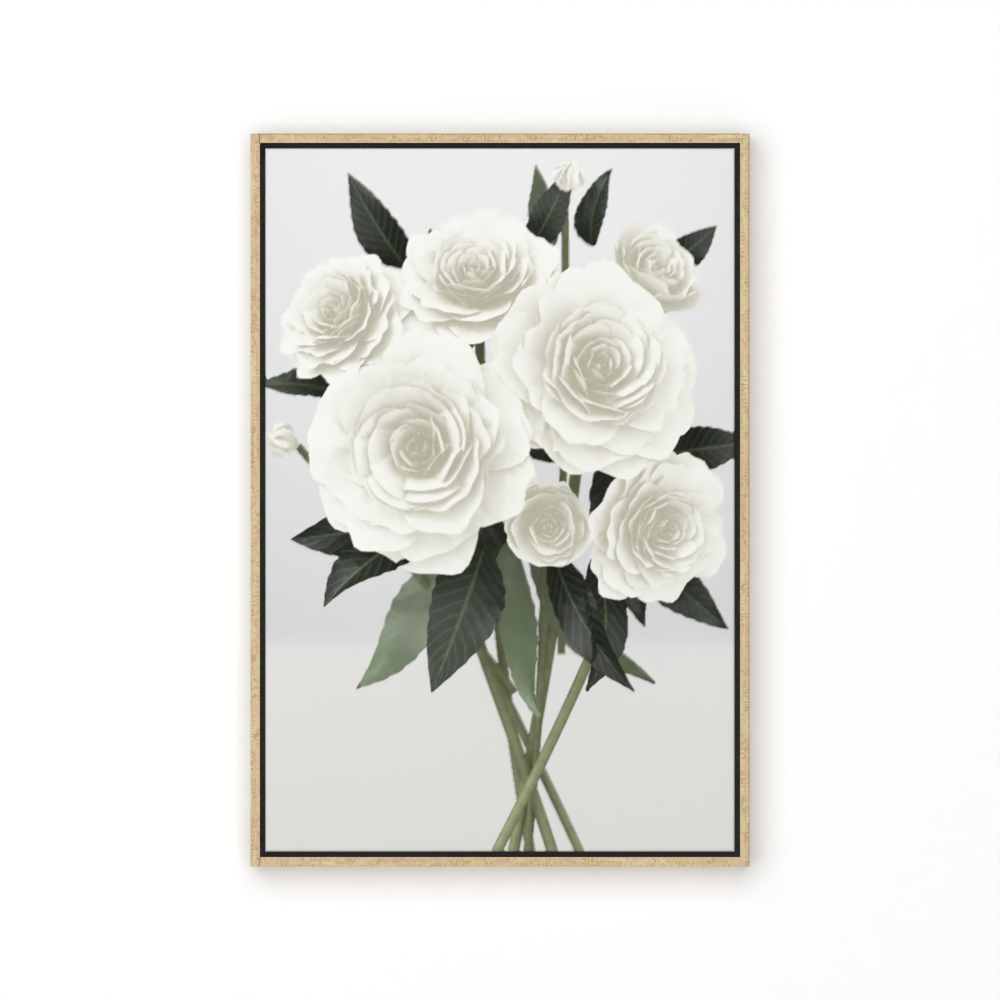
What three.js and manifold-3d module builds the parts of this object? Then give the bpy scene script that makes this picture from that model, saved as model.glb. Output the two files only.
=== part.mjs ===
// A canvas print in a floater frame, ready to hang.
//
// The frame is four lengths of L-shaped oak moulding. The tall wall of the L shows its narrow edge from the
// front, and the ledge at its back runs in behind the canvas. The two stiles run the full height and the two
// rails are butted between them. The canvas is stretched over four mitred bars with a brace across the
// middle. It stands clear of the wall of the frame by an even gap, and is screwed to the ledge from behind.
//
// Millimetres. +X is to the right, +Z up, and the print faces -Y. While it is being built, the part has x = 0
// on its centre line, z = 0 under the bottom rail and y = 0 on the flat back of the frame. The finished group
// is then moved, so that the origin is on the root of the hanger's middle notch, where the nail carries it.

import * as THREE from 'three';
import { mergeVertices } from 'three/addons/utils/BufferGeometryUtils.js';
import Module from 'manifold-3d';

const wasm = await Module();
wasm.setup();

// ---- driving dimensions -------------------------------------------------------------------------------

const CANVAS_WIDTH = 610; // a 24 x 36 inch print
const CANVAS_HEIGHT = 914;
const FLOAT_GAP = 7; // between the canvas and the wall of the frame
const WALL = 12; // the oak edge that shows from the front
const FRAME_DEPTH = 44;
const LEDGE_REACH = 26; // from the wall inwards
const LEDGE_THICKNESS = 8;
const RECESS = 3; // the print lies this far behind the front edge of the frame

const CLOTH = 1;
const CLOTH_ROUND = 4; // the cloth's turn over the front edge of the bars
const FLAP = 28; // cloth folded in behind the bars

const BAR_WIDTH = 38;
const BAR_BEAD = 8; // the only part of a bar's front that touches the cloth
const BAR_RELIEF = 3; // how far the rest of the front slopes away from it
const BAR_ROUND = 5;
const BRACE_WIDTH = 38;
const BRACE_DEPTH = 18;
const TENON = { length: 10, width: 26, depth: 8 };
const TONGUE = { skin: 4, behindFront: 6, thickness: 7 }; // the corner joint between two bars
const KEY = { thickness: 3, root: 15, tip: 19, length: 20, out: 8, fromMitre: 2 };
const KEY_DEPTH = { upright: 16, level: 22 }; // behind the bar's front: the two in a corner cross

const SCREW = { head: 3.75, headHeight: 2.25, shank: 1.75, length: 25 };
const STILE_SCREW_PITCH = 300;
const RAIL_SCREW_PITCH = 360;
const DOWEL = { radius: 3, inStile: 8, inRail: 16, depths: [-32, -18] };

const HANGER = { span: 64, height: 12, plate: 1, standOff: 1.75, tab: 10, joggle: 3, belowTop: 14 };
const NOTCH = { pitch: 4, root: 2, mouth: 3.5, depth: 2.5, count: 9 };
const NAIL = { head: 2.5, headHeight: 0.75, shank: 0.9, length: 7 };
const BUMPER = { radius: 5, flat: 3, thickness: 3, fromSide: 28, fromBottom: 14 };

const CLEARANCE = 0.3; // round a pin in its hole, and in a mitre
const ROUND_SIDES = 12;

// ---- sizes worked out from them -----------------------------------------------------------------------

const WIDTH = CANVAS_WIDTH + 2 * (FLOAT_GAP + WALL);
const HEIGHT = CANVAS_HEIGHT + 2 * (FLOAT_GAP + WALL);
const MIDDLE = HEIGHT / 2;
const CANVAS_INSET = WALL + FLOAT_GAP;
const PROFILE_REACH = WALL + LEDGE_REACH;
const RAIL_LENGTH = WIDTH - 2 * WALL;
const FLAP_OUTER = -LEDGE_THICKNESS; // depth of the back of the cloth
const BAR_BACK = FLAP_OUTER - CLOTH;
const CLOTH_FRONT = RECESS - FRAME_DEPTH;
const BAR_FRONT = CLOTH_FRONT + CLOTH;
const BAR_OUTER = CANVAS_INSET + CLOTH; // from the outer edge of the frame to the bars
const SCREW_INWARD = (BAR_OUTER + PROFILE_REACH) / 2; // the middle of where a bar lies on the ledge
const HANGER_BOTTOM = HEIGHT - HANGER.belowTop - HANGER.height;
const NOTCH_ROOT = new THREE.Vector3(0, HANGER.standOff + HANGER.plate / 2, HANGER_BOTTOM + NOTCH.depth);

// ---- materials ----------------------------------------------------------------------------------------

function finish(color, roughness, metalness = 0) {
  return new THREE.MeshStandardMaterial({ color, roughness, metalness, flatShading: true });
}

const OAK = finish(0xd1ba92, 0.55);
const CANVAS = finish(0xe4e4e2, 0.8);
const PINE = finish(0xd9bf93, 0.65);
const BEECH = finish(0xc9a27a, 0.6);
const ZINC = finish(0xb9bcc0, 0.35, 0.9);
const RUBBER = finish(0x2b2b2b, 0.7);

// ---- solids -------------------------------------------------------------------------------------------

// A closed three.js geometry as a solid that can be joined and cut.
function solid(geometry) {
  const bare = geometry.index ? geometry.toNonIndexed() : geometry.clone();
  bare.deleteAttribute('normal');
  bare.deleteAttribute('uv');
  const merged = mergeVertices(bare, 1e-4);
  return new wasm.Manifold(new wasm.Mesh({
    numProp: 3,
    vertProperties: merged.attributes.position.array,
    triVerts: new Uint32Array(merged.index.array),
  }));
}

// The other way: a joined and cut solid as a three.js geometry.
function geometryOf(made) {
  const mesh = made.getMesh();
  const geometry = new THREE.BufferGeometry();
  geometry.setAttribute('position', new THREE.BufferAttribute(new Float32Array(mesh.vertProperties), 3));
  geometry.setIndex(new THREE.BufferAttribute(new Uint32Array(mesh.triVerts), 1));
  geometry.computeVertexNormals();
  return geometry;
}

function box([x0, x1], [y0, y1], [z0, z1]) {
  const geometry = new THREE.BoxGeometry(x1 - x0, y1 - y0, z1 - z0);
  return geometry.translate((x0 + x1) / 2, (y0 + y1) / 2, (z0 + z1) / 2);
}

// A round pin along the depth, from the front end y0 to the back end y1.
function pin(radius, y0, y1, x, z) {
  const geometry = new THREE.CylinderGeometry(radius, radius, y1 - y0, ROUND_SIDES);
  return geometry.translate(x, (y0 + y1) / 2, z);
}

function shapeOf(points) {
  return new THREE.Shape(points.map(([x, y]) => new THREE.Vector2(x, y)));
}

// An outline in x and y, run along z and centred there.
function runAlong(shape, length) {
  const geometry = new THREE.ExtrudeGeometry(shape, { depth: length, bevelEnabled: false, curveSegments: 5 });
  return geometry.translate(0, 0, -length / 2);
}

// An outline in x and z, given its thickness in y from the front y0 to the back y1.
function plate(points, y0, y1) {
  const shape = shapeOf(points.map(([x, z]) => [x, -z]));
  const geometry = new THREE.ExtrudeGeometry(shape, { depth: y1 - y0, bevelEnabled: false });
  return geometry.rotateX(-Math.PI / 2).translate(0, y0, 0);
}

// A block centred on the y axis, with a rounded edge all round its front y0 and a flat back at y1.
function roundedBlock(width, height, round, [y0, y1]) {
  const [w, h] = [width / 2 - round, height / 2 - round];
  const shape = shapeOf([[-w, -h], [w, -h], [w, h], [-w, h]]);
  const geometry = new THREE.ExtrudeGeometry(shape, {
    depth: y1 - y0,
    bevelSize: round,
    bevelThickness: round,
    bevelSegments: 4,
  });
  geometry.rotateX(-Math.PI / 2).translate(0, y0 + round, 0);
  return solid(geometry).intersect(solid(box([-width, width], [y0, y1], [-height, height])));
}

function ordered(a, b) {
  return a < b ? [a, b] : [b, a];
}

function cut(body, tools) {
  return tools.reduce((left, tool) => left.subtract(solid(tool)), body);
}

function meshOf(name, geometry, material) {
  const mesh = new THREE.Mesh(geometry, material);
  mesh.name = name;
  return mesh;
}

// ---- the four sides -----------------------------------------------------------------------------------

// Each side of the frame is drawn alike: x inwards from its outer edge, y the depth, z along it from its
// middle. Its group then turns it about y and puts it in its place.
const SIDES = [
  { name: 'left', turn: 0, at: [-WIDTH / 2, MIDDLE], upright: true },
  { name: 'right', turn: Math.PI, at: [WIDTH / 2, MIDDLE], upright: true },
  { name: 'bottom', turn: -Math.PI / 2, at: [0, 0], upright: false },
  { name: 'top', turn: Math.PI / 2, at: [0, HEIGHT], upright: false },
];

// How far along a side its screws are.
function screwPlaces(side) {
  return side.upright
    ? [-STILE_SCREW_PITCH, 0, STILE_SCREW_PITCH]
    : [-RAIL_SCREW_PITCH / 2, RAIL_SCREW_PITCH / 2];
}

// A hole for a pin of that radius, with clearance round it and at its blind end.
function hole(radius, y0, y1, x, z) {
  return pin(radius + CLEARANCE, y0 - CLEARANCE, y1 + 1, x, z);
}

function screwHoles(side) {
  return screwPlaces(side).map((along) => hole(SCREW.shank, -SCREW.length, 0, SCREW_INWARD, along));
}

// ---- the oak frame ------------------------------------------------------------------------------------

const MOULDING = shapeOf([
  [0, -FRAME_DEPTH],
  [WALL, -FRAME_DEPTH],
  [WALL, -LEDGE_THICKNESS],
  [PROFILE_REACH, -LEDGE_THICKNESS],
  [PROFILE_REACH, 0],
  [0, 0],
]);

// A dowel lies along a rail. It is drawn along x, with x = 0 on the joint and the stile at negative x.
function dowelGeometry(clearance) {
  const radius = DOWEL.radius + clearance;
  const length = DOWEL.inStile + DOWEL.inRail + 2 * clearance;
  const geometry = new THREE.CylinderGeometry(radius, radius, length, ROUND_SIDES);
  return geometry.rotateZ(Math.PI / 2).translate((DOWEL.inRail - DOWEL.inStile) / 2, 0, 0);
}

// A stile is full height. Its ledge stops short at both ends to let the rails through to the wall.
function stile(side) {
  const reliefs = [-1, 1].map((end) => {
    const along = ordered(end * (HEIGHT / 2 - PROFILE_REACH), end * (HEIGHT / 2 + 1));
    return box([WALL, PROFILE_REACH + 1], [-FRAME_DEPTH, 1], along);
  });
  const dowels = [-1, 1].flatMap((end) => DOWEL.depths.map((depth) => (
    dowelGeometry(CLEARANCE).translate(WALL, depth, end * (HEIGHT / 2 - WALL / 2)))));
  return cut(solid(runAlong(MOULDING, HEIGHT)), [...reliefs, ...dowels, ...screwHoles(side)]);
}

function nailHoles() {
  const fromOuterEdge = HANGER.belowTop + HANGER.height / 2;
  return [-1, 1].map((end) => (
    hole(NAIL.shank, -NAIL.length, 0, fromOuterEdge, end * (HANGER.span - HANGER.tab) / 2)));
}

// A rail fits between the stiles.
function rail(side) {
  const dowels = [-1, 1].flatMap((end) => DOWEL.depths.map((depth) => {
    const along = dowelGeometry(CLEARANCE).rotateY(end * Math.PI / 2);
    return along.translate(WALL / 2, depth, end * RAIL_LENGTH / 2);
  }));
  const nails = side.name === 'top' ? nailHoles() : [];
  return cut(solid(runAlong(MOULDING, RAIL_LENGTH)), [...dowels, ...nails, ...screwHoles(side)]);
}

function addDowels(assembly) {
  for (const [across, acrossName] of [[-1, 'left'], [1, 'right']]) {
    for (const [up, upName] of [[0, 'bottom'], [1, 'top']]) {
      DOWEL.depths.forEach((depth, index) => {
        const dowel = meshOf(`dowel_${upName}_${acrossName}_${index + 1}`, dowelGeometry(0), BEECH);
        dowel.rotation.y = across > 0 ? Math.PI : 0;
        dowel.position.set(across * (WIDTH / 2 - WALL), depth, up ? HEIGHT - WALL / 2 : WALL / 2);
        assembly.add(dowel);
      });
    }
  }
}

// ---- the stretcher ------------------------------------------------------------------------------------

function barShape() {
  const outer = BAR_OUTER;
  const inner = BAR_OUTER + BAR_WIDTH;
  const shape = new THREE.Shape();
  shape.moveTo(outer + BAR_ROUND, BAR_FRONT);
  shape.lineTo(outer + BAR_BEAD, BAR_FRONT);
  shape.lineTo(inner, BAR_FRONT + BAR_RELIEF);
  shape.lineTo(inner, BAR_BACK);
  shape.lineTo(outer, BAR_BACK);
  shape.lineTo(outer, BAR_FRONT + BAR_ROUND);
  shape.absarc(outer + BAR_ROUND, BAR_FRONT + BAR_ROUND, BAR_ROUND, Math.PI, 1.5 * Math.PI, false);
  return shape;
}

// Where the outer and inner edges of a bar end, on the way from its middle to a corner.
function barEnds(side) {
  const outerEnd = (side.upright ? HEIGHT : WIDTH) / 2 - BAR_OUTER - CLEARANCE / 2;
  return { outerEnd, innerEnd: outerEnd - BAR_WIDTH };
}

// The outline of a corner key, seen from the back. It widens towards the end that sticks out.
function keyOutline(side, end, clearance) {
  const root = BAR_OUTER + BAR_WIDTH - (KEY.length - KEY.out) - clearance;
  const tip = BAR_OUTER + BAR_WIDTH + KEY.out;
  const near = barEnds(side).innerEnd - KEY.fromMitre;
  return [
    [root, end * (near + clearance)],
    [tip, end * (near + clearance)],
    [tip, end * (near - KEY.tip - clearance)],
    [root, end * (near - KEY.root - clearance)],
  ];
}

function keyGeometry(side, end, clearance) {
  const front = BAR_FRONT + (side.upright ? KEY_DEPTH.upright : KEY_DEPTH.level);
  return plate(keyOutline(side, end, clearance), front - clearance, front + KEY.thickness + clearance);
}

// Where two bars meet, the upright one has a tongue that fills the middle of the corner, and the other one
// is slotted for it. Each side draws the block of its own corner that the joint takes up.
function tonguePlace(side, end, clearance) {
  const { outerEnd, innerEnd } = barEnds(side);
  const front = BAR_FRONT + TONGUE.behindFront;
  const far = side.upright ? outerEnd - TONGUE.skin : outerEnd + 1;
  const inner = BAR_OUTER + BAR_WIDTH + (side.upright ? 0 : 1);
  return box(
    [BAR_OUTER + TONGUE.skin - clearance, inner],
    [front - clearance, front + TONGUE.thickness + clearance],
    ordered(end * (innerEnd - clearance), end * far),
  );
}

// The tenon of the brace, drawn in the place that a side bar has for it.
function tenonGeometry(clearance) {
  const inner = BAR_OUTER + BAR_WIDTH;
  const depth = BAR_BACK - BRACE_DEPTH / 2;
  return box(
    [inner - TENON.length - clearance, inner + 1],
    [depth - TENON.depth / 2 - clearance, depth + TENON.depth / 2 + clearance],
    [-TENON.width / 2 - clearance, TENON.width / 2 + clearance],
  );
}

function bar(side) {
  const { outerEnd, innerEnd } = barEnds(side);
  const mitred = plate([
    [BAR_OUTER, outerEnd],
    [BAR_OUTER, -outerEnd],
    [BAR_OUTER + BAR_WIDTH, -innerEnd],
    [BAR_OUTER + BAR_WIDTH, innerEnd],
  ], BAR_FRONT - 1, BAR_BACK + 1);
  const mitredBar = solid(runAlong(barShape(), 2 * outerEnd)).intersect(solid(mitred));
  const keySlots = [-1, 1].map((end) => keyGeometry(side, end, CLEARANCE));
  if (!side.upright) {
    const tongueSlots = [-1, 1].map((end) => tonguePlace(side, end, CLEARANCE));
    return cut(mitredBar, [...screwHoles(side), ...keySlots, ...tongueSlots]);
  }
  const tongued = [-1, 1].reduce((left, end) => left.add(solid(tonguePlace(side, end, 0))), mitredBar);
  return cut(tongued, [...screwHoles(side), ...keySlots, tenonGeometry(CLEARANCE)]);
}

function brace() {
  const half = WIDTH / 2 - BAR_OUTER - BAR_WIDTH;
  const depth = BAR_BACK - BRACE_DEPTH / 2;
  const body = solid(box(
    [-half, half],
    [BAR_BACK - BRACE_DEPTH, BAR_BACK],
    [-BRACE_WIDTH / 2, BRACE_WIDTH / 2],
  ));
  const tongue = solid(box(
    [-half - TENON.length, half + TENON.length],
    [depth - TENON.depth / 2, depth + TENON.depth / 2],
    [-TENON.width / 2, TENON.width / 2],
  ));
  return body.add(tongue);
}

// ---- the canvas ---------------------------------------------------------------------------------------

// One sheet: the front, a soft turn round its edges, the sides, and a flap folded in behind the bars.
function canvas() {
  const outside = roundedBlock(CANVAS_WIDTH, CANVAS_HEIGHT, CLOTH_ROUND, [CLOTH_FRONT, FLAP_OUTER]);
  const inside = roundedBlock(
    CANVAS_WIDTH - 2 * CLOTH,
    CANVAS_HEIGHT - 2 * CLOTH,
    CLOTH_ROUND - CLOTH,
    [BAR_FRONT, BAR_BACK],
  );
  const betweenFlaps = box(
    [FLAP - CANVAS_WIDTH / 2, CANVAS_WIDTH / 2 - FLAP],
    [BAR_BACK - 1, FLAP_OUTER + 1],
    [FLAP - CANVAS_HEIGHT / 2, CANVAS_HEIGHT / 2 - FLAP],
  );
  const screws = SIDES.flatMap((side) => screwPlaces(side).map((along) => {
    const across = (side.upright ? WIDTH : HEIGHT) / 2 - SCREW_INWARD;
    const sign = side.name === 'right' || side.name === 'top' ? 1 : -1;
    const [x, z] = side.upright ? [sign * across, along] : [along, sign * across];
    return pin(SCREW.shank + CLEARANCE, BAR_BACK - 1, FLAP_OUTER + 1, x, z);
  }));
  return cut(outside.subtract(inside), [betweenFlaps, ...screws]);
}

// ---- fixings ------------------------------------------------------------------------------------------

// A pan-head screw, drawn along y with its head on the plane y = 0 and its point to the front.
function screwGeometry() {
  const { head, headHeight, shank, length } = SCREW;
  const outline = [
    [0, -length],
    [shank, -length + 2 * shank],
    [shank, 0],
    [head, 0],
    [head, headHeight / 3],
    [0.6 * head, headHeight],
    [0, headHeight],
  ];
  return new THREE.LatheGeometry(outline.map(([r, y]) => new THREE.Vector2(r, y)), ROUND_SIDES);
}

function nailGeometry() {
  const { head, headHeight, shank, length } = NAIL;
  const outline = [
    [0, -length],
    [shank, -length + 3 * shank],
    [shank, HANGER.plate],
    [head, HANGER.plate],
    [head, HANGER.plate + headHeight],
    [0, HANGER.plate + headHeight],
  ];
  return new THREE.LatheGeometry(outline.map(([r, y]) => new THREE.Vector2(r, y)), ROUND_SIDES);
}

// A self-adhesive foot, flat where it meets the frame and where it meets the wall.
function bumperGeometry() {
  const { radius, flat, thickness } = BUMPER;
  const outline = [[0, 0], [radius, 0], [radius, thickness / 3], [flat, thickness], [0, thickness]];
  return new THREE.LatheGeometry(outline.map(([r, y]) => new THREE.Vector2(r, y)), 2 * ROUND_SIDES);
}

// A strip of sheet steel, joggled so that a nail head fits behind its middle, with notches along its lower
// edge to level the picture by. It is drawn on the back of the top rail.
function hanger() {
  const { span, height, plate: thickness, standOff, tab, joggle } = HANGER;
  const tabEnd = span / 2 - tab;
  const raised = tabEnd - joggle;
  const half = [[span / 2, 0], [tabEnd, 0], [raised, standOff]];
  const mirrored = half.map(([x, y]) => [-x, y]).reverse();
  const near = [...half, ...mirrored];
  const far = near.map(([x, y]) => [x, y + thickness]).reverse();
  const outline = shapeOf([...near, ...far]);
  const strip = new THREE.ExtrudeGeometry(outline, { depth: height, bevelEnabled: false });
  const first = -(NOTCH.count - 1) / 2;
  const notches = Array.from({ length: NOTCH.count }, (_, index) => {
    const middle = (first + index) * NOTCH.pitch;
    const widen = (NOTCH.mouth - NOTCH.root) / 2 / NOTCH.depth;
    const lowest = NOTCH.root / 2 + widen * (NOTCH.depth + 1);
    return plate([
      [middle - lowest, -1],
      [middle + lowest, -1],
      [middle + NOTCH.root / 2, NOTCH.depth],
      [middle - NOTCH.root / 2, NOTCH.depth],
    ], standOff - 1, standOff + thickness + 1);
  });
  const nails = [-1, 1].map((end) => (
    pin(NAIL.shank + CLEARANCE, -1, thickness + 1, end * (span - tab) / 2, height / 2)));
  return cut(solid(strip), [...notches, ...nails]);
}

// ---- putting it together ------------------------------------------------------------------------------

const part = new THREE.Group();
const assembly = new THREE.Group();
assembly.position.copy(NOTCH_ROOT).negate();
part.add(assembly);

for (const side of SIDES) {
  const place = new THREE.Group();
  place.rotation.y = side.turn;
  place.position.set(side.at[0], 0, side.at[1]);
  assembly.add(place);

  const [memberName, member] = side.upright ? ['stile', stile(side)] : ['rail', rail(side)];
  place.add(meshOf(`frame_${memberName}_${side.name}`, geometryOf(member), OAK));
  place.add(meshOf(`stretcher_bar_${side.name}`, geometryOf(bar(side)), PINE));
  [-1, 1].forEach((end, index) => {
    place.add(meshOf(`corner_key_${side.name}_${index + 1}`, keyGeometry(side, end, 0), BEECH));
  });
  screwPlaces(side).forEach((along, index) => {
    const screw = meshOf(`canvas_screw_${side.name}_${index + 1}`, screwGeometry(), ZINC);
    screw.position.set(SCREW_INWARD, 0, along);
    place.add(screw);
  });
}
addDowels(assembly);

const cloth = meshOf('canvas', geometryOf(canvas()), CANVAS);
cloth.position.z = MIDDLE;
assembly.add(cloth);

const crossBrace = meshOf('stretcher_brace', geometryOf(brace()), PINE);
crossBrace.position.z = MIDDLE;
assembly.add(crossBrace);

const sawtooth = meshOf('sawtooth_hanger', geometryOf(hanger()), ZINC);
sawtooth.position.z = HANGER_BOTTOM;
assembly.add(sawtooth);

for (const [across, name] of [[-1, 'left'], [1, 'right']]) {
  const nail = meshOf(`hanger_nail_${name}`, nailGeometry(), ZINC);
  nail.position.set(across * (HANGER.span - HANGER.tab) / 2, 0, HANGER_BOTTOM + HANGER.height / 2);
  assembly.add(nail);
  const bumper = meshOf(`wall_bumper_${name}`, bumperGeometry(), RUBBER);
  bumper.position.set(across * (WIDTH / 2 - BUMPER.fromSide), 0, BUMPER.fromBottom);
  assembly.add(bumper);
}

export default part;
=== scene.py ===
"""Framed canvas print: a floater frame of light oak round a stretched cotton canvas, hung on a white wall.

The frame members are cut and eased from blocks, the stretcher from copies of the part's own solids. The
picture on the canvas is a still life of white garden flowers. Its petals, leaves and stems are modelled in
memory, lit from a sky, photographed onto a lattice and kept as a colour at each vertex of the cloth.
"""

import math
from functools import partial

import bpy
import numpy as np
from mathutils import Matrix, Vector
from mathutils.bvhtree import BVHTree


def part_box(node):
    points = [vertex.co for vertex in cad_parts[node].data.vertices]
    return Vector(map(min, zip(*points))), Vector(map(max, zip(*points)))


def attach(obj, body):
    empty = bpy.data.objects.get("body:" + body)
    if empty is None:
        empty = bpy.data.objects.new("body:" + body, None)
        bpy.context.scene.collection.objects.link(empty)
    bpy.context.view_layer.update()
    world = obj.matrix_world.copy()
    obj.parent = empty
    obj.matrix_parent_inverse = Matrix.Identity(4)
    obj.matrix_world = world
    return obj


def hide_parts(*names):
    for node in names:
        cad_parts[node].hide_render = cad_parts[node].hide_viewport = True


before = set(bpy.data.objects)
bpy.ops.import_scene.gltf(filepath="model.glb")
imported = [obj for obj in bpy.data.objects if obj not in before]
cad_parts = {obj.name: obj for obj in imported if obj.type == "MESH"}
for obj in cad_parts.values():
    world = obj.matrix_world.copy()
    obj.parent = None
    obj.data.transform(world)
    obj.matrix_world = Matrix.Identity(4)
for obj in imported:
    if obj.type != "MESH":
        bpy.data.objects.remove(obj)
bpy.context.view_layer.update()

# ---- sizes, in millimetres of the part's own frame ----

MM = 0.001
FRAME_SIDE = 324.0  # half the frame's width
FRAME_BOTTOM, FRAME_TOP = -928.5, 23.5
FRAME_FRONT, FRAME_BACK = -46.25, -2.25
WALL = 12.0  # thickness of the frame's wall, the oak edge that shows
LEDGE_FRONT = -10.25
LEDGE_REACH = 26.0
MIDDLE = (FRAME_BOTTOM + FRAME_TOP) / 2
ARRIS = 0.6

CANVAS_SIDE = 305.0
CANVAS_HALF_HEIGHT = 457.0
CANVAS_FRONT = -43.25
FLAP_BACK = -10.25
CLOTH = 1.0
CLOTH_ROUND = 3.2
FLAP = 28.0
FLAP_HIDDEN = 19.6  # as much of the flap as lies between the bars and the ledge
FOLD = 0.7  # how much thicker the flap's corners are, where the cloth is folded over itself

WALL_PLANE = 0.75  # the wall behind the picture, at the faces of the rubber feet

# ---- small tools ----


def deselect():
    if bpy.context.mode != "OBJECT":
        bpy.ops.object.mode_set(mode="OBJECT")
    bpy.ops.object.select_all(action="DESELECT")


def use(piece):
    deselect()
    piece.select_set(True)
    bpy.context.view_layer.objects.active = piece


def named(name):
    """The active object, named, with its place, turn and size put into its mesh."""
    made = bpy.context.object
    made.name = name
    made.data.name = name
    bpy.ops.object.transform_apply(location=True, rotation=True, scale=True)
    return made


def block(name, low, high):
    """A block between two corners."""
    deselect()
    low, high = Vector(low), Vector(high)
    bpy.ops.mesh.primitive_cube_add(size=1, location=(low + high) / 2 * MM, scale=(high - low) * MM)
    return named(name)


def disc(name, radius, front, back, centre, sides):
    """A round blank whose axis runs from front to back, along y."""
    deselect()
    place = Vector((centre[0], (front + back) / 2, centre[1]))
    size = {"radius": radius * MM, "depth": (back - front) * MM}
    bpy.ops.mesh.primitive_cylinder_add(
        vertices=sides, location=place * MM, rotation=(math.pi / 2, 0, 0), **size
    )
    return named(name)


def edit(piece, action="SELECT", kind=None):
    """Opens the piece in edit mode with everything selected, or nothing."""
    use(piece)
    bpy.ops.object.mode_set(mode="EDIT")
    if kind:
        bpy.ops.mesh.select_mode(type=kind)
    bpy.ops.mesh.select_all(action=action)


def done():
    bpy.ops.object.mode_set(mode="OBJECT")


def split(piece, point, normal):
    """Cuts a line of edges round the piece where a plane crosses it."""
    edit(piece)
    bpy.ops.mesh.bisect(plane_co=Vector(point) * MM, plane_no=normal)
    done()


def choose_faces(piece, wanted):
    """Leaves the piece in edit mode with those faces selected whose centre and normal are wanted."""
    edit(piece, "DESELECT", "FACE")
    done()
    for face in piece.data.polygons:
        face.select = bool(wanted(face.center / MM, face.normal))
    bpy.ops.object.mode_set(mode="EDIT")


def draw_out(piece, wanted, move):
    """Extrudes the wanted faces."""
    choose_faces(piece, wanted)
    bpy.ops.mesh.extrude_region_move(TRANSFORM_OT_translate={"value": Vector(move) * MM})
    done()


def round_rim(piece, back, width, steps):
    """Rounds the rim at the back of a round piece."""
    edit(piece, "DESELECT", "EDGE")
    done()
    points = piece.data.vertices
    for edge in piece.data.edges:
        edge.select = all(points[end].co.y / MM > back - 0.1 for end in edge.vertices)
    bpy.ops.object.mode_set(mode="EDIT")
    bpy.ops.mesh.bevel(offset=width * MM, segments=steps, affect="EDGES", clamp_overlap=True)
    done()


def smooth(piece, angle):
    use(piece)
    bpy.ops.object.shade_smooth_by_angle(angle=math.radians(angle))


def apply_modifier(piece, kind, **settings):
    use(piece)
    modifier = piece.modifiers.new(kind.lower(), kind)
    for name, value in settings.items():
        setattr(modifier, name, value)
    bpy.ops.object.modifier_apply(modifier=modifier.name)


def ease(piece, width, steps=2, sharper_than=30.0):
    """Takes the sharpness off the edges and smooths the shading across them."""
    limit = {"limit_method": "ANGLE", "angle_limit": math.radians(sharper_than)}
    apply_modifier(piece, "BEVEL", width=width * MM, segments=steps, **limit)
    smooth(piece, 40)
    apply_modifier(piece, "WEIGHTED_NORMAL", weight=100, keep_sharp=True)


def face_outwards(piece):
    edit(piece)
    bpy.ops.mesh.normals_make_consistent(inside=False)
    done()


def copy_of(node, name):
    """A merged copy of a CAD node, ready to be eased."""
    made = bpy.data.objects.new(name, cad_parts[node].data.copy())
    made.data.name = name
    made.data.materials.clear()
    bpy.context.scene.collection.objects.link(made)
    edit(made)
    bpy.ops.mesh.remove_doubles(threshold=0.002 * MM)
    bpy.ops.mesh.dissolve_limited(angle_limit=math.radians(1))
    bpy.ops.mesh.normals_make_consistent(inside=False)
    done()
    return made


def repeat(piece, name, turn, move):
    """Another of the same piece, with its own mesh, turned about y and moved."""
    made = bpy.data.objects.new(name, piece.data.copy())
    made.data.name = name
    bpy.context.scene.collection.objects.link(made)
    made.data.transform(Matrix.Translation(Vector(move) * MM) @ Matrix.Rotation(turn, 4, "Y"))
    return made


def join(pieces, name):
    deselect()
    for piece in pieces:
        piece.select_set(True)
    bpy.context.view_layer.objects.active = pieces[0]
    bpy.ops.object.join()
    made = bpy.context.object
    made.name = name
    made.data.name = name
    return made


def coat(piece, *materials):
    piece.data.materials.clear()
    for made in materials:
        piece.data.materials.append(made)


def paint(piece, index, wanted):
    """Gives the wanted faces the material with this index."""
    for face in piece.data.polygons:
        if wanted(face.center / MM, face.normal):
            face.material_index = index


def belongs(piece, slot, *nodes):
    """Ties the piece to the part's one body and hides the nodes that it replaces. The slot is not used."""
    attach(piece, "root")
    if nodes:
        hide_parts(*nodes)


# ---- materials ----


def linear(colour):
    """An sRGB hex colour as linear red, green, blue and alpha."""
    parts = [int(colour[k : k + 2], 16) / 255 for k in (1, 3, 5)]
    return (*[c / 12.92 if c <= 0.04045 else ((c + 0.055) / 1.055) ** 2.4 for c in parts], 1.0)


def add(tree, kind, settings=None, stops=()):
    """Adds a node. Each setting is the value of a property or socket, or the node or output that feeds the
    socket. Stops are those of a colour ramp."""
    made = tree.nodes.new("ShaderNode" + kind)
    for name, value in (settings or {}).items():
        if isinstance(value, bpy.types.Node):
            value = next(output for output in value.outputs if output.enabled)
        if isinstance(value, bpy.types.NodeSocket):
            tree.links.new(value, made.inputs[name])
        elif isinstance(name, int) or name in made.inputs:
            made.inputs[name].default_value = value
        else:
            setattr(made, name, value)
    for k, (position, colour) in enumerate(stops):
        ramp = made.color_ramp.elements
        stop = ramp[k] if k < 2 else ramp.new(position)
        stop.position = position
        stop.color = linear(colour)
    return made


def new_tree(name):
    """An empty material, what adds its nodes, and the output with a point's place in the part's own frame."""
    made = bpy.data.materials.new(name)
    made.use_nodes = True
    made.node_tree.nodes.clear()
    node = partial(add, made.node_tree)
    return made, node, node("TexCoord").outputs["Object"]


BLEND = {"data_type": "RGBA"}
MULTIPLY = {**BLEND, "blend_type": "MULTIPLY"}


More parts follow.
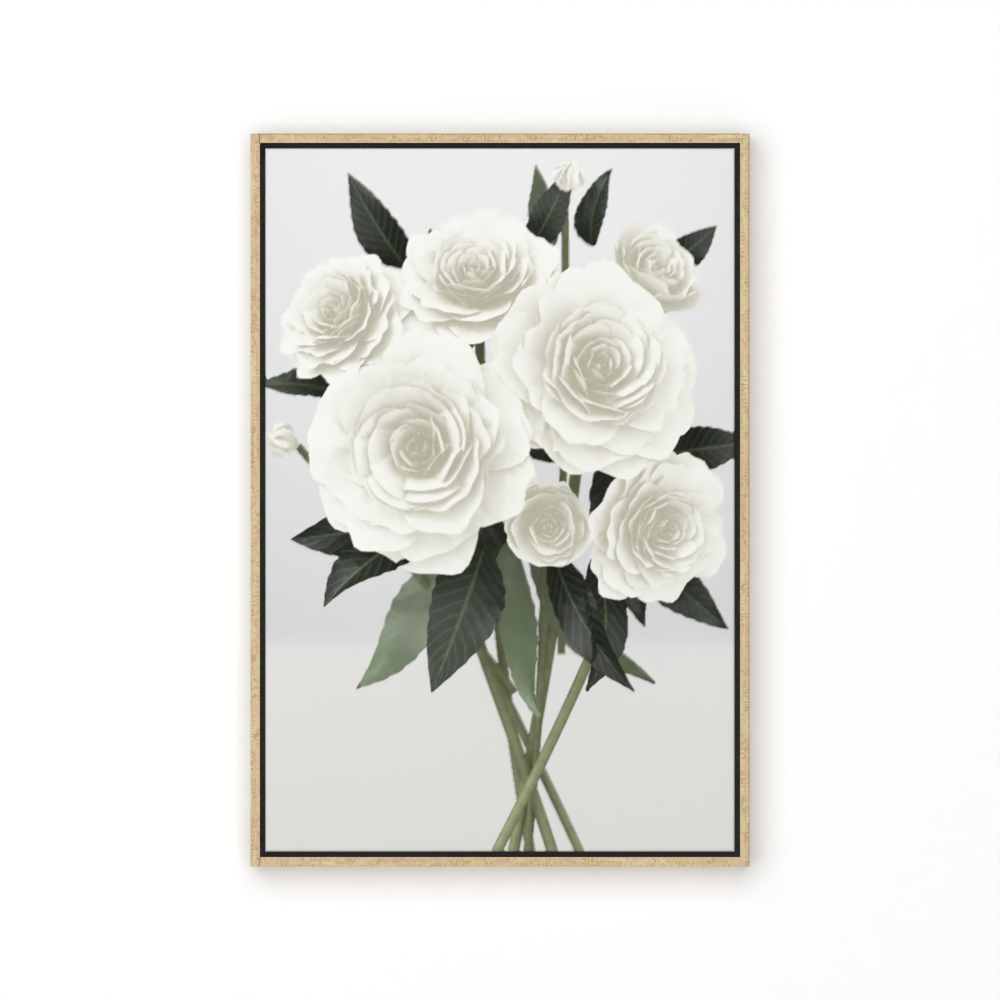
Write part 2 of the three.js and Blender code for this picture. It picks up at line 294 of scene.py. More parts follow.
UPRIGHT = (0.0, 0.0, 0.0)
LEVEL = (0.0, math.pi / 2, 0.0)


def light_oak(name, lie, quarter_sawn=False, tone=(0.5, 0.5, 0.5), strength=0.0):
    """European oak, planed along the grain and sealed with clear matt lacquer: pale straw-brown, in soft
    streaks a few millimetres wide, with fine darker pores along the grain. A quarter-sawn face adds short
    ticks of ray across the grain and a livelier tint. Tone and strength paint shade or a highlight along an
    arris."""
    made, node, place = new_tree(name)
    along = node("Mapping", {"Rotation": lie, "Vector": place})
    # streaks 5 mm wide and 125 mm long
    stretch = node("Mapping", {"Scale": (200, 200, 8), "Vector": along})
    streaks = node("TexNoise", {"Scale": 1.0, "Detail": 4.0, "Roughness": 0.6, "Vector": stretch})
    straw = ((0.30, "#c4b192"), (0.70, "#ddd3bc"), (0.5, "#d1c2a7"))
    body = node("ValToRGB", {"Fac": streaks}, straw)
    # patches that lean towards pink or yellow, 10 mm wide and 25 mm long
    wide = node("Mapping", {"Scale": (100, 100, 42), "Vector": along})
    patches = node("TexNoise", {"Scale": 1.0, "Detail": 2.0, "Vector": wide})
    pink, yellow = ("#ffe6d1", "#fbf7cd") if quarter_sawn else ("#feebd0", "#fdf0cf")
    tint = node("ValToRGB", {"Fac": patches}, ((0.38, pink), (0.62, yellow)))
    tinted = node("Mix", {**MULTIPLY, 0: 0.8, 6: body, 7: tint})
    # pores 1.1 mm wide and 9 mm long, drawn wider than real ones so that they show
    fine = node("Mapping", {"Scale": (900, 900, 110), "Vector": along})
    pores = node("TexNoise", {"Scale": 1.0, "Detail": 3.0, "Vector": fine})
    dark = node("MapRange", {"From Min": 0.56, "From Max": 0.70, "To Max": 0.55, "Value": pores})
    pored = node("Mix", {**BLEND, 0: dark, 6: tinted, 7: linear("#a9875c")})
    # ticks 1.8 mm wide and 5 mm long across the grain, where the wood's rays come out, gathered in clouds
    ray = node("Mapping", {"Scale": (190, 190, 560), "Vector": along})
    rays = node("TexNoise", {"Scale": 1.0, "Detail": 1.5, "Vector": ray})
    cloud = node("Mapping", {"Scale": (110, 110, 38), "Vector": along})
    clouds = node("TexNoise", {"Scale": 1.0, "Detail": 2.0, "Vector": cloud})
    gathered = node("MapRange", {"From Min": 0.38, "From Max": 0.58, "To Min": 0.15, "Value": clouds})
    most = 0.8 if quarter_sawn else 0.0
    tick = node("MapRange", {"From Min": 0.45, "From Max": 0.6, "To Max": most, "Value": rays})
    ticks = node("Math", {"operation": "MULTIPLY", 0: tick, 1: gathered})
    ticked = node("Mix", {**BLEND, 0: ticks, 6: pored, 7: linear("#a9895f")})
    shift = node("Mix", {**BLEND, 0: strength, 6: ticked, 7: (*tone, 1)})
    gloss = node("MapRange", {"To Min": 0.42, "To Max": 0.58, "Value": streaks})
    relief = node("Bump", {"Strength": 0.25, "Distance": 0.1 * MM, "invert": True, "Height": pores})
    lacquer = {"Specular IOR Level": 0.4, "Base Color": shift, "Roughness": gloss, "Normal": relief}
    node("OutputMaterial", {"Surface": node("BsdfPrincipled", lacquer)})
    return made


def black_stain(name, colours, rough, specular):
    """Black water stain, brushed inside the frame and left satin or matt: a dark warm grey with faint brush
    marks."""
    made, node, place = new_tree(name)
    # brush marks 1.7 mm apart
    stretch = node("Mapping", {"Scale": (600, 40, 40), "Vector": place})
    marks = node("TexNoise", {"Scale": 1.0, "Detail": 3.0, "Vector": stretch})
    tone = node("ValToRGB", {"Fac": marks}, colours)
    gloss = node("MapRange", {"To Min": rough, "To Max": rough + 0.16, "Value": marks})
    relief = node("Bump", {"Strength": 0.2, "Distance": 0.05 * MM, "Height": marks})
    satin = {"Specular IOR Level": specular, "Base Color": tone, "Roughness": gloss, "Normal": relief}
    node("OutputMaterial", {"Surface": node("BsdfPrincipled", satin)})
    return made


def planed_pine(name, lie):
    """Scots pine, planed and left bare: pale yellow with darker summer growth in long lines and a few brown
    knots."""
    made, node, place = new_tree(name)
    along = node("Mapping", {"Rotation": lie, "Vector": place})
    # growth lines 5.5 mm apart, drifting sideways over half a metre
    drift = node("Mapping", {"Scale": (7, 7, 1.7), "Vector": along})
    wander = node("TexNoise", {"Scale": 1.0, "Detail": 2.0, "Vector": drift})
    bent = node("Mix", {"data_type": "VECTOR", 0: 0.05, 4: along, 5: wander.outputs["Color"]})
    stretch = node("Mapping", {"Scale": (190, 120, 3), "Vector": bent})
    lines = {"Scale": 0.6, "Distortion": 2.5, "Detail": 3.0, "Detail Scale": 1.2, "Vector": stretch}
    growth = node("TexWave", {"bands_direction": "DIAGONAL", **lines}).outputs["Fac"]
    body = node("ValToRGB", {"Fac": growth}, ((0.15, "#e6cfa0"), (0.95, "#cfa86e"), (0.6, "#e0c492")))
    # knots 12 mm across, few and far apart
    spread = node("Mapping", {"Scale": (11, 11, 8), "Vector": along})
    knots = node("TexVoronoi", {"Scale": 1.0, "Randomness": 1.0, "Vector": spread})
    edge = {"From Min": 0.05, "From Max": 0.08, "To Min": 0.75, "To Max": 0.0}
    core = node("MapRange", {**edge, "Value": knots})
    knotted = node("Mix", {**BLEND, 0: core, 6: body, 7: linear("#9a6a3c")})
    # fibres 0.8 mm wide
    fine = node("Mapping", {"Scale": (1200, 1200, 30), "Vector": along})
    fibres = node("TexNoise", {"Scale": 1.0, "Detail": 3.0, "Vector": fine})
    worn = node("ValToRGB", {"Fac": fibres}, ((0.3, "#e9dfcf"), (0.7, "#ffffff")))
    toned = node("Mix", {**MULTIPLY, 0: 0.7, 6: knotted, 7: worn})
    relief = node("Bump", {"Strength": 0.3, "Distance": 0.1 * MM, "Height": fibres})
    planed = {"Roughness": 0.68, "Specular IOR Level": 0.3, "Base Color": toned, "Normal": relief}
    node("OutputMaterial", {"Surface": node("BsdfPrincipled", planed)})
    return made


def sawn_beech(name):
    """Beech, sawn into small wedges and left bare: pinkish tan with short brown flecks and a rough face."""
    made, node, place = new_tree(name)
    # flecks 0.5 mm by 1.4 mm
    stretch = node("Mapping", {"Scale": (700, 2000, 2000), "Vector": place})
    flecks = node("TexNoise", {"Scale": 1.0, "Detail": 2.0, "Vector": stretch})
    tone = node("ValToRGB", {"Fac": flecks}, ((0.36, "#b48a60"), (0.56, "#d0aa80"), (0.46, "#c79f74")))
    relief = node("Bump", {"Strength": 0.4, "Distance": 0.15 * MM, "Height": flecks})
    sawn = {"Roughness": 0.75, "Specular IOR Level": 0.25, "Base Color": tone, "Normal": relief}
    node("OutputMaterial", {"Surface": node("BsdfPrincipled", sawn)})
    return made


THREAD_WAVE = math.pi / 10 / (1.2 * MM)  # a wave texture of this scale has one band every 1.2 mm


def cotton_canvas(name, printed):
    """Cotton duck in plain weave, primed and printed with matt inks, or bare on its back: a soft surface
    with a small even grid of threads, drawn 1.2 mm apart, twice as coarse as real ones, so that they show."""
    made, node, place = new_tree(name)
    thread = {"Scale": THREAD_WAVE, "Distortion": 0.0, "Vector": place}
    warp, weft = (node("TexWave", {**thread, "bands_direction": d}).outputs["Fac"] for d in "XZ")
    grid = node("Math", {"operation": "MULTIPLY", 0: warp, 1: weft})
    # slubs, thicker lengths of thread, 3 mm by 11 mm
    stretch = node("Mapping", {"Scale": (90, 90, 330), "Vector": place})
    slubs = node("TexNoise", {"Scale": 1.0, "Detail": 2.0, "Vector": stretch})
    height = node("Math", {"operation": "ADD", 0: grid, 1: slubs})
    deep, rough = (0.22, 0.72) if printed else (0.6, 0.9)
    relief = node("Bump", {"Strength": deep, "Distance": 0.12 * MM, "Height": height})
    if printed:
        colour = node("Attribute", {"attribute_name": "print"})
    else:
        raw = node("ValToRGB", {"Fac": slubs}, ((0.3, "#dcd4c2"), (0.7, "#e7e0cf")))
        colour = node("Mix", {**MULTIPLY, 0: 0.14, 6: raw, 7: grid})
    cloth = {"Roughness": rough, "Specular IOR Level": 0.12, "Base Color": colour, "Normal": relief}
    node("OutputMaterial", {"Surface": node("BsdfPrincipled", cloth)})
    return made


def zinc_plate(name, tones, rough):
    """Steel pressed or headed, then bright zinc plated: a pale metal with a cloudy blue and straw cast."""
    made, node, place = new_tree(name)
    # clouds 4 mm across
    clouds = node("TexNoise", {"Scale": 250.0, "Detail": 3.0, "Vector": place})
    tone = node("ValToRGB", {"Fac": clouds}, tones)
    gloss = node("MapRange", {"To Min": rough - 0.08, "To Max": rough + 0.1, "Value": clouds})
    plated = {"Metallic": 1.0, "Base Color": tone, "Roughness": gloss}
    node("OutputMaterial", {"Surface": node("BsdfPrincipled", plated)})
    return made


def moulded_rubber(name):
    """Synthetic rubber, moulded in a spark-finished tool: dark grey, matt, with a fine even grain."""
    made, node, place = new_tree(name)
    # grain 0.5 mm
    grain = node("TexNoise", {"Scale": 2000.0, "Detail": 2.0, "Vector": place})
    tone = node("ValToRGB", {"Fac": grain}, ((0.3, "#262626"), (0.7, "#323231")))
    relief = node("Bump", {"Strength": 0.3, "Distance": 0.05 * MM, "Height": grain})
    moulded = {"Roughness": 0.62, "Specular IOR Level": 0.4, "Base Color": tone, "Normal": relief}
    node("OutputMaterial", {"Surface": node("BsdfPrincipled", moulded)})
    return made


oak_upright = light_oak("oak_upright", UPRIGHT)
oak_level = light_oak("oak_level", LEVEL)
oak_edge_upright = light_oak("oak_quarter_sawn_upright", UPRIGHT, quarter_sawn=True)
oak_edge_level = light_oak("oak_quarter_sawn_level", LEVEL, quarter_sawn=True)
# painted highlight: a lighter line along the inner arris of the oak edge
oak_painted_highlight = light_oak("oak_painted_highlight_arris", UPRIGHT, tone=(0.86, 0.74, 0.54), strength=0.7)
# painted shade: a darker line along the outer arris of the right stile and the top rail, and at the left
# corner seams
oak_shaded = light_oak("oak_painted_shade_arris", UPRIGHT, tone=(0.18, 0.115, 0.03), strength=0.78)
stain = black_stain("black_satin_stain", ((0.3, "#242321"), (0.7, "#32302d")), 0.34, 0.45)
# the ledge's grey is lighter than the black stain: painted light that lifts the shade at the bottom of the
# gap
ledge_stain_and_painted_light = black_stain("grey_matt_stain_with_painted_light_on_ledge", ((0.3, "#53514d"), (0.7, "#5f5c57")), 0.6, 0.15)
pine_upright = planed_pine("pine_upright", UPRIGHT)
pine_level = planed_pine("pine_level", LEVEL)
beech = sawn_beech("beech_sawn")
printed_canvas = cotton_canvas("printed_cotton_canvas", True)
raw_canvas = cotton_canvas("raw_cotton_canvas", False)
zinc = zinc_plate("zinc_plated_steel", ((0.3, "#a9afb6"), (0.7, "#c0beb5")), 0.34)
staple_steel = zinc_plate("galvanised_steel_wire", ((0.3, "#85898d"), (0.7, "#a3a4a3")), 0.34)
rubber = moulded_rubber("moulded_rubber")

# ---- the floater frame ----

INNER = FRAME_SIDE - WALL
LEDGE_BOTTOM = FRAME_BOTTOM + WALL + LEDGE_REACH
LEDGE_TOP = FRAME_TOP - WALL - LEDGE_REACH
DARK_LINE = 1.1  # width of the line of painted shade along an arris


# a frame member's materials, in the order of its material slots
SIDES, INSIDE, LEDGE, HIGHLIGHT_ARRIS, SHADED_ARRIS, FRONT_EDGE = range(6)


def stain_inside(piece, inwards):
    """Black on the wall's inner face, and on the ledge's front a lighter grey, painted light against the
    shade at the bottom of the gap, up to the arris of the oak edge. A painted highlight on the inner arris.
    """

    def on_wall(centre, normal):
        return normal.dot(inwards) > 0.9 and centre.y < LEDGE_FRONT + 0.2

    def on_ledge(centre, normal):
        return normal.y < -0.2 and abs(centre.y - LEDGE_FRONT) < 0.8

    def on_inner_arris(centre, normal):
        return normal.y < -0.2 and normal.dot(inwards) > 0.2 and centre.y < FRAME_FRONT + ARRIS

    def on_front_edge(centre, normal):
        return normal.y < -0.9 and centre.y < FRAME_FRONT + ARRIS

    paint(piece, INSIDE, on_wall)
    # lighter grey on the ledge: painted light against the shade in the gap
    paint(piece, LEDGE, on_ledge)
    paint(piece, FRONT_EDGE, on_front_edge)
    # painted highlight along the inner arris
    paint(piece, HIGHLIGHT_ARRIS, on_inner_arris)


def paint_arris_shade(piece, wanted):
    """Painted shade: a line a little darker than the rest along an arris of the front."""

    def on_line(centre, normal):
        return normal.y < -0.2 and centre.y < FRAME_FRONT + ARRIS and wanted(centre)

    paint(piece, SHADED_ARRIS, on_line)


def make_stile(name, side):
    """A full-height side of the frame, with its ledge between the ledges of the rails."""
    inner, outer = side * INNER, side * FRAME_SIDE
    low = (min(inner, outer), FRAME_FRONT, FRAME_BOTTOM)
    high = (max(inner, outer), FRAME_BACK, FRAME_TOP)
    piece = block(name, low, high)
    split(piece, (0, LEDGE_FRONT, 0), (0, 1, 0))
    for level in (LEDGE_BOTTOM, LEDGE_TOP, FRAME_BOTTOM + WALL, FRAME_TOP - WALL):
        split(piece, (0, 0, level), (0, 0, 1))
    line_start = high[0] - DARK_LINE
    split(piece, (line_start, 0, 0), (1, 0, 0))

    def where_ledge_starts(centre, normal):
        between = LEDGE_BOTTOM < centre.z < LEDGE_TOP
        return between and centre.y > LEDGE_FRONT and normal.x * side < -0.5

    draw_out(piece, where_ledge_starts, (-side * LEDGE_REACH, 0, 0))
    ease(piece, ARRIS)
    coat(piece, oak_upright, stain, ledge_stain_and_painted_light, oak_painted_highlight, oak_shaded, oak_edge_upright)
    stain_inside(piece, Vector((-side, 0, 0)))
    seam = abs(FRAME_TOP - MIDDLE) - WALL
    # painted shade on the stile's right-hand arris, on the left stile only where the rails butt against it
    paint_arris_shade(piece, lambda at: at.x > line_start and (side > 0 or abs(at.z - MIDDLE) > seam))
    belongs(piece, "oak", name)
    return piece


def make_rail(name, up):
    """A top or bottom side of the frame, butted between the stiles."""
    outer = FRAME_TOP if up > 0 else FRAME_BOTTOM
    inner = outer - up * WALL
    low = (-INNER, FRAME_FRONT, min(inner, outer))
    high = (INNER, FRAME_BACK, max(inner, outer))
    piece = block(name, low, high)
    split(piece, (0, LEDGE_FRONT, 0), (0, 1, 0))
    line_start = outer - DARK_LINE
    if up > 0:
        split(piece, (0, 0, line_start), (0, 0, 1))

    def where_ledge_starts(centre, normal):
        return centre.y > LEDGE_FRONT and normal.z * up < -0.5

    draw_out(piece, where_ledge_starts, (0, 0, -up * LEDGE_REACH))
    ease(piece, ARRIS)
    coat(piece, oak_level, stain, ledge_stain_and_painted_light, oak_painted_highlight, oak_shaded, oak_edge_level)
    stain_inside(piece, Vector((0, 0, -up)))
    # painted shade along the top rail's outer arris
    if up > 0:
        paint_arris_shade(piece, lambda at: at.z > line_start)
    belongs(piece, "oak", name)
    return piece


make_stile("frame_stile_left", -1)
make_stile("frame_stile_right", 1)
make_rail("frame_rail_bottom", -1)
make_rail("frame_rail_top", 1)

for node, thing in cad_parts.items():
    if node.startswith("dowel_"):
        coat(thing, beech)

# ---- the stretcher ----

bars = {f"stretcher_bar_{side}": pine_upright for side in ("left", "right")}
bars.update({f"stretcher_bar_{side}": pine_level for side in ("bottom", "top")}, stretcher_brace=pine_level)
for node, finish in bars.items():
    bar = copy_of(node, node + "_planed")
    ease(bar, 0.8)
    coat(bar, finish)
    belongs(bar, "pine", node)

for side in ("left", "right", "bottom", "top"):
    for k in (1, 2):
        node = f"corner_key_{side}_{k}"
        key = copy_of(node, node + "_sawn")
        ease(key, 0.35)
        coat(key, beech)
        belongs(key, "beech", node)

# ---- the picture: forms, in millimetres from the middle of the canvas, x right, y back, z up ----


def grid(rows, columns):
    return np.meshgrid(np.linspace(0.0, 1.0, rows), np.linspace(-1.0, 1.0, columns), indexing="ij")


def arc(start, turn, distance, length):
    """Out, up and heading after a distance along an arc that starts at one angle and turns by another."""
    bend = turn / length
    heading = start + bend * distance
    out = (math.cos(start) - np.cos(heading)) / bend
    up = (np.sin(heading) - math.sin(start)) / bend
    return out, up, heading


def raised(out, up, heading, aside, lift):
    return np.stack([out - np.cos(heading) * lift, aside, up + np.sin(heading) * lift], axis=-1)


def petal(random, length, spread, lean, turn, cup, ruffle):
    """A fan-shaped petal with a lobed, ruffled edge, cupped across and curled along its length."""
    outward, across = grid(15, 23)
    phase = random.uniform(0.0, 2 * math.pi, 4)
    lobes = 1 + 0.045 * np.sin(5 * across + phase[0]) + 0.02 * np.sin(13 * across + phase[1])
    notch = 1 - random.uniform(0.0, 0.13) * np.exp(-(((across - random.uniform(-0.2, 0.2)) / 0.15) ** 2))
    reach = outward * length * np.sqrt(np.clip(1 - np.abs(across) ** 3, 0, 1)) * lobes * notch
    aside = reach * np.sin(across * spread)
    out, up, heading = arc(lean, turn, reach * np.cos(across * spread), length)
    wave = np.sin(across * random.uniform(4, 8) + phase[2]) + 0.35 * np.sin(across * 17 + phase[3])
    lift = cup * aside**2 / length + ruffle * length * outward**3 * wave
    return raised(out, up, heading, aside, lift)


def wrapped_petal(random, length, spread, lean, turn, roll, ruffle):
    """A petal near the heart, wrapped round the flower's axis, with its rim rolled outwards."""
    outward, across = grid(17, 19)
    phase = random.uniform(0.0, 2 * math.pi, 2)
    lobes = 1 + 0.03 * np.sin(4 * across + phase[0]) + 0.012 * np.sin(11 * across + phase[1])
    reach = outward * length * (1 - 0.55 * np.abs(across) ** 2.6) * lobes
    out, up, _ = arc(lean, turn, reach, length)
    wave = np.sin(across * random.uniform(3, 6) + phase[1])
    rim = np.clip(outward - 0.62, 0, 1) ** 2
    away = out * (1 + 0.13 * across) + length * (roll * rim + ruffle * outward**3 * wave)
    around = across * spread
    return np.stack([away * np.cos(around), away * np.sin(around), up - 0.35 * roll * length * rim], axis=-1)


def leaf(random, length, width, droop, fold):
    """A pointed leaf, folded along its midrib, with a wavy edge and a quilted face."""
    outward, across = grid(33, 13)
    half = width / 2 * np.sin(math.pi * outward**0.72) ** 0.95 + 0.3
    half = half * (1 + 0.03 * np.sin(outward * 60))
    out, up, heading = arc(math.pi / 2 - droop / 2, droop, outward * length, length)
    wave = 0.03 * length * np.sin(outward * random.uniform(7, 11) + random.uniform(0, 6.3)) * across**2
    quilt = 0.012 * width * np.sin((outward - 0.2 * np.abs(across)) * 70) * (np.abs(across) > 0.05)
    return raised(out, up, heading, across * half, fold * np.abs(across * half) + wave + quilt)


def stem(points, radius):
    """A round stem along a smooth curve, with a swelling where a leaf once grew."""
    points = np.array(points, float)
    t = np.linspace(0.0, 1.0, 60)
    last = len(points) - 1
    line = sum(
        math.comb(last, k) * ((1 - t) ** (last - k) * t**k)[:, None] * points[k] for k in range(last + 1)
    )
    along = np.gradient(line, axis=0)
    side = np.cross(along, [0.0, 1.0, 0.0])
    side /= np.linalg.norm(side, axis=1)[:, None]
    front = np.cross(side, along)
    front /= np.linalg.norm(front, axis=1)[:, None]
    around = np.linspace(0.0, 2 * math.pi, 15)[None, :, None]
    thick = radius * (1 + 0.25 * np.exp(-(((t - 0.35) / 0.02) ** 2)))[:, None, None]
    return line[:, None] + thick * (side[:, None] * np.cos(around) + front[:, None] * np.sin(around))


def unit(vector):
    vector = np.array(vector, float)
    return vector / np.linalg.norm(vector)


def turned(points, angle):
    c, s = math.cos(angle), math.sin(angle)
    return points @ np.array([[c, s, 0], [-s, c, 0], [0, 0, 1]])


def facing(points, towards):
    return points @ np.array(Vector(towards).to_track_quat("Z", "Y").to_matrix()).T


# rings of petals from the outside in: number, length, lean and turn in degrees, cup, ruffle
OPEN_FLOWER = (
    (6, 1.04, 80, 18, 0.25, 0.030),
    (7, 0.98, 66, 22, 0.40, 0.035),
    (8, 0.90, 54, 15, 0.55, 0.035),
    (9, 0.82, 43, 0, 0.60, 0.035),
)
CUP_FLOWER = (
    (6, 1.0, 62, -25, 0.45, 0.030),
    (7, 0.95, 54, -38, 0.55, 0.030),
)
BUD = (
    (5, 1.0, 40, -85, 0.9, 0.01),
    (5, 0.96, 30, -70, 1.0, 0.015),
    (5, 0.88, 18, -55, 1.1, 0.02),
)
# rings of petals wrapped round the heart: number, length, lean and turn in degrees, roll of the rim
OPEN_HEART = (
    (8, 0.84, 60, -62, 0.9),
    (7, 0.78, 52, -60, 0.9),
    (6, 0.72, 44, -58, 0.8),
    (5, 0.66, 35, -52, 0.6),
    (5, 0.60, 26, -44, 0.4),
    (4, 0.55, 17, -32, 0.2),
    (3, 0.50, 9, -18, 0.0),
)
CUP_HEART = (
    (7, 0.88, 54, -66, 0.7),
    (6, 0.82, 45, -62, 0.7),
    (5, 0.76, 36, -56, 0.5),
    (5, 0.70, 26, -46, 0.3),
    (4, 0.64, 16, -32, 0.1),
)


def flower(random, radius, rings, heart, opening):
    """Petals of one flower, each with how near it is to the heart, from 0 to 1."""
    made = []
    start = random.uniform(0, 2 * math.pi)
    for ring, (count, length, lean, turn, cup, ruffle) in enumerate(rings):
        start += math.pi / count + 0.25
        for k in range(count):
            points = petal(
                random,
                radius * length * random.uniform(0.93, 1.06),
                math.radians(random.uniform(42, 56)),
                math.radians(lean * opening * random.uniform(0.9, 1.1)),
                math.radians(turn + random.uniform(-12, 12)),
                cup * random.uniform(0.8, 1.2),
                ruffle * random.uniform(0.5, 1.6),
            )
            points[..., 0] += 0.03 * radius
            around = start + 2 * math.pi * (k + random.uniform(-0.14, 0.14)) / count
            made.append((turned(points, around), 0.45 * ring / (len(rings) - 1)))
    for ring, (count, length, lean, turn, roll) in enumerate(heart):
        start += math.pi / count + 0.25
        for k in range(count):
            points = wrapped_petal(
                random,
                radius * length * random.uniform(0.97, 1.03),
                math.radians(random.uniform(240, 280) / count + 14),
                math.radians(lean * random.uniform(0.97, 1.03)),
                math.radians(turn + random.uniform(-3, 3)),
                roll * random.uniform(0.5, 1.3),
                0.012 * random.uniform(0.5, 1.6),
            )
            around = start + 2 * math.pi * (k + random.uniform(-0.1, 0.1)) / count
            made.append((turned(points, around), 0.5 + 0.5 * ring / (len(heart) - 1)))
    return made


PETAL, LEAF, STEM = 0, 1, 2
# centre, radius, the way it faces, its rings, its heart, how far it is open
FLOWERS = (
    ((-92, -85, 62), 150, (-0.22, -1.0, 0.10), OPEN_FLOWER, OPEN_HEART, 1.0),
    ((112, -60, 158), 140, (0.32, -1.0, 0.30), OPEN_FLOWER, OPEN_HEART, 0.95),
    ((-28, -5, 262), 112, (-0.10, -0.85, 0.75), OPEN_FLOWER, OPEN_HEART, 0.85),
    ((-188, 20, 225), 98, (-0.65, -0.8, 0.50), OPEN_FLOWER, OPEN_HEART, 0.85),
    ((186, -30, -30), 104, (0.65, -0.95, -0.20), OPEN_FLOWER, OPEN_HEART, 0.85),
    ((176, 60, 272), 92, (0.60, -0.7, 0.65), CUP_FLOWER, CUP_HEART, 1.0),
    ((58, -45, -22), 78, (0.10, -1.0, -0.30), CUP_FLOWER, CUP_HEART, 1.0),
    ((84, 60, 398), 46, (0.25, -0.35, 1.0), BUD, (), 1.0),
    ((-262, 40, 70), 46, (-0.9, -0.40, 0.3), BUD, (), 1.0),
)
# x, y, z, heading in degrees, how far it comes forward, length, width, roll in degrees
LEAVES = (
    (-75, -20, -35, 214, 0.35, 205, 92, 25),
    (-95, 20, -20, 190, 0.20, 190, 84, -30),
    (-20, -10, -60, 250, 0.30, 215, 96, -15),
    (20, 0, -50, 278, 0.25, 245, 70, 140),
    (70, 10, -70, 300, 0.30, 225, 62, 35),
    (40, 40, -60, 312, 0.10, 260, 58, 160),
    (120, 10, -80, 268, 0.25, 190, 72, -40),
    (190, 40, -70, 318, 0.20, 150, 62, 30),
    (215, 40, 60, 8, 0.15, 120, 60, 20),
    (-60, 60, -60, 236, 0.05, 230, 84, 200),
    (-190, 60, 130, 172, 0.10, 130, 62, 25),
    (-120, 60, 300, 122, 0.10, 150, 60, -30),
    (40, 70, 330, 64, 0.05, 120, 46, 20),
    (70, 70, 330, 102, 0.05, 110, 40, -150),
    (120, 90, 330, 75, 0.05, 110, 46, -30),
    (215, 90, 300, 40, 0.10, 90, 44, 25),
    (-60, 60, 180, 100, 0.1, 190, 70, 40),
    (40, 60, 60, 20, 0.1, 220, 80, 0),
    (150, 60, 60, 280, 0.1, 240, 76, 20),
    (20, 60, 120, 60, 0.1, 200, 90, 0),
    (10, 60, 40, 250, 0.1, 200, 120, 10),
)
STEMS = (
    ((-92, 0, 60), (-70, 60, -110), (20, 60, -290), (88, 20, -520), 7.5),
    ((112, 20, 158), (95, 80, -40), (50, 80, -280), (6, 40, -520), 7.5),
    ((-28, 60, 262), (-20, 110, 0), (0, 110, -260), (52, 80, -520), 6.5),
    ((-188, 80, 225), (-150, 110, 20), (10, 90, -240), (132, 60, -520), 6.0),
    ((186, 30, -30), (140, 60, -160), (70, 30, -320), (-38, -10, -520), 7.0),
    ((58, 20, -22), (60, 50, -140), (52, 60, -300), (30, 40, -520), 5.5),
    ((84, 70, 398), (88, 90, 240), (80, 100, 0), (80, 100, -200), 5.0),
    ((-262, 50, 70), (-205, 80, 0), (-100, 80, -90), (20, 80, -250), 5.0),
)


def arrangement():
    """The forms of the picture, each a grid of points with its kind and its own shade."""
    random = np.random.default_rng(11)
    forms = []
    for centre, radius, towards, rings, heart, opening in FLOWERS:
        for points, depth in flower(random, radius, rings, heart, opening):
            forms.append((facing(points, towards) + np.array(centre), PETAL, depth))
    for x, y, z, heading, forward, length, width, roll in LEAVES:
        points = leaf(random, length, width, math.radians(random.uniform(35, 80)), random.uniform(0.1, 0.3))
        heading, roll = math.radians(heading), math.radians(roll)
        along = unit((math.cos(heading), -forward, math.sin(heading)))
        aside = unit(np.cross(unit((0, -1, 0.35)), along))
        upper = np.cross(along, aside)
        aside, upper = (
            aside * math.cos(roll) + upper * math.sin(roll),
            upper * math.cos(roll) - aside * math.sin(roll),
        )
        points = points @ np.stack([along, aside, upper]) + np.array((x, y, z))
        forms.append((points, LEAF, random.uniform(-1, 1)))
    for *points, radius in STEMS:
        forms.append((stem(points, radius), STEM, random.uniform(-1, 1)))
    return forms


# ---- the picture: light and lens ----

COLUMNS, ROWS = 480, 720  # finest cells of the cloth's front, about 1.25 mm
FLAT_SIDE = CANVAS_SIDE - CLOTH_ROUND
FLAT_HALF_HEIGHT = CANVAS_HALF_HEIGHT - CLOTH_ROUND
STEP = 1

LENS_SAMPLES = 4  # sight lines from each point of the lattice
FOCUS = -90.0  # depth at which the forms are sharp
APERTURE = 0.012  # steepest slope of a sight line
LENS_START = -500.0
GOLDEN_ANGLE = math.pi * (3 - math.sqrt(5))  # spreads directions evenly
SKY_DIRECTIONS = 110
FILM_SPEED = 1.72
WHITEST = np.array([0.94, 0.935, 0.895])  # where the film leaves off, short of pure white
SHADOW_CELL = 2.6  # cell of each direction's shadow map
# each lamp's direction, its strength beside the sky's, and how tightly it is gathered
KEY_LIGHT, KEY_STRENGTH, KEY_TIGHTNESS = unit((-0.62, -0.50, 0.62)), 3.1, 7.0
FILL_LIGHT, FILL_STRENGTH, FILL_TIGHTNESS = unit((0.75, -0.60, -0.28)), 1.1, 6.0
SKY_LEVEL, SKY_ABOVE, SKY_IN_FRONT = 0.30, 0.22, 0.15  # even light, with more from above and in front
BOUNCE_SHARE = 0.34
PETAL_BOUNCE = np.array([0.71, 0.69, 0.57])
PETAL_THROUGH, LEAF_THROUGH = 0.22, 0.12  # share of light that shines through
OFF_THE_FACE = 1.2  # how far off its own face a point looks for shade
SHADE_STARTS, SHADE_RAMP = 1.0, 2.5  # how near a form starts to shade, and the depth that it takes
GLEAM_POWER = 60
LEAF_SHINE = 0.2


def rgb(colour):
    return np.array(linear(colour)[:3])


HORIZON = -185.0  # height of the table's far edge in the picture


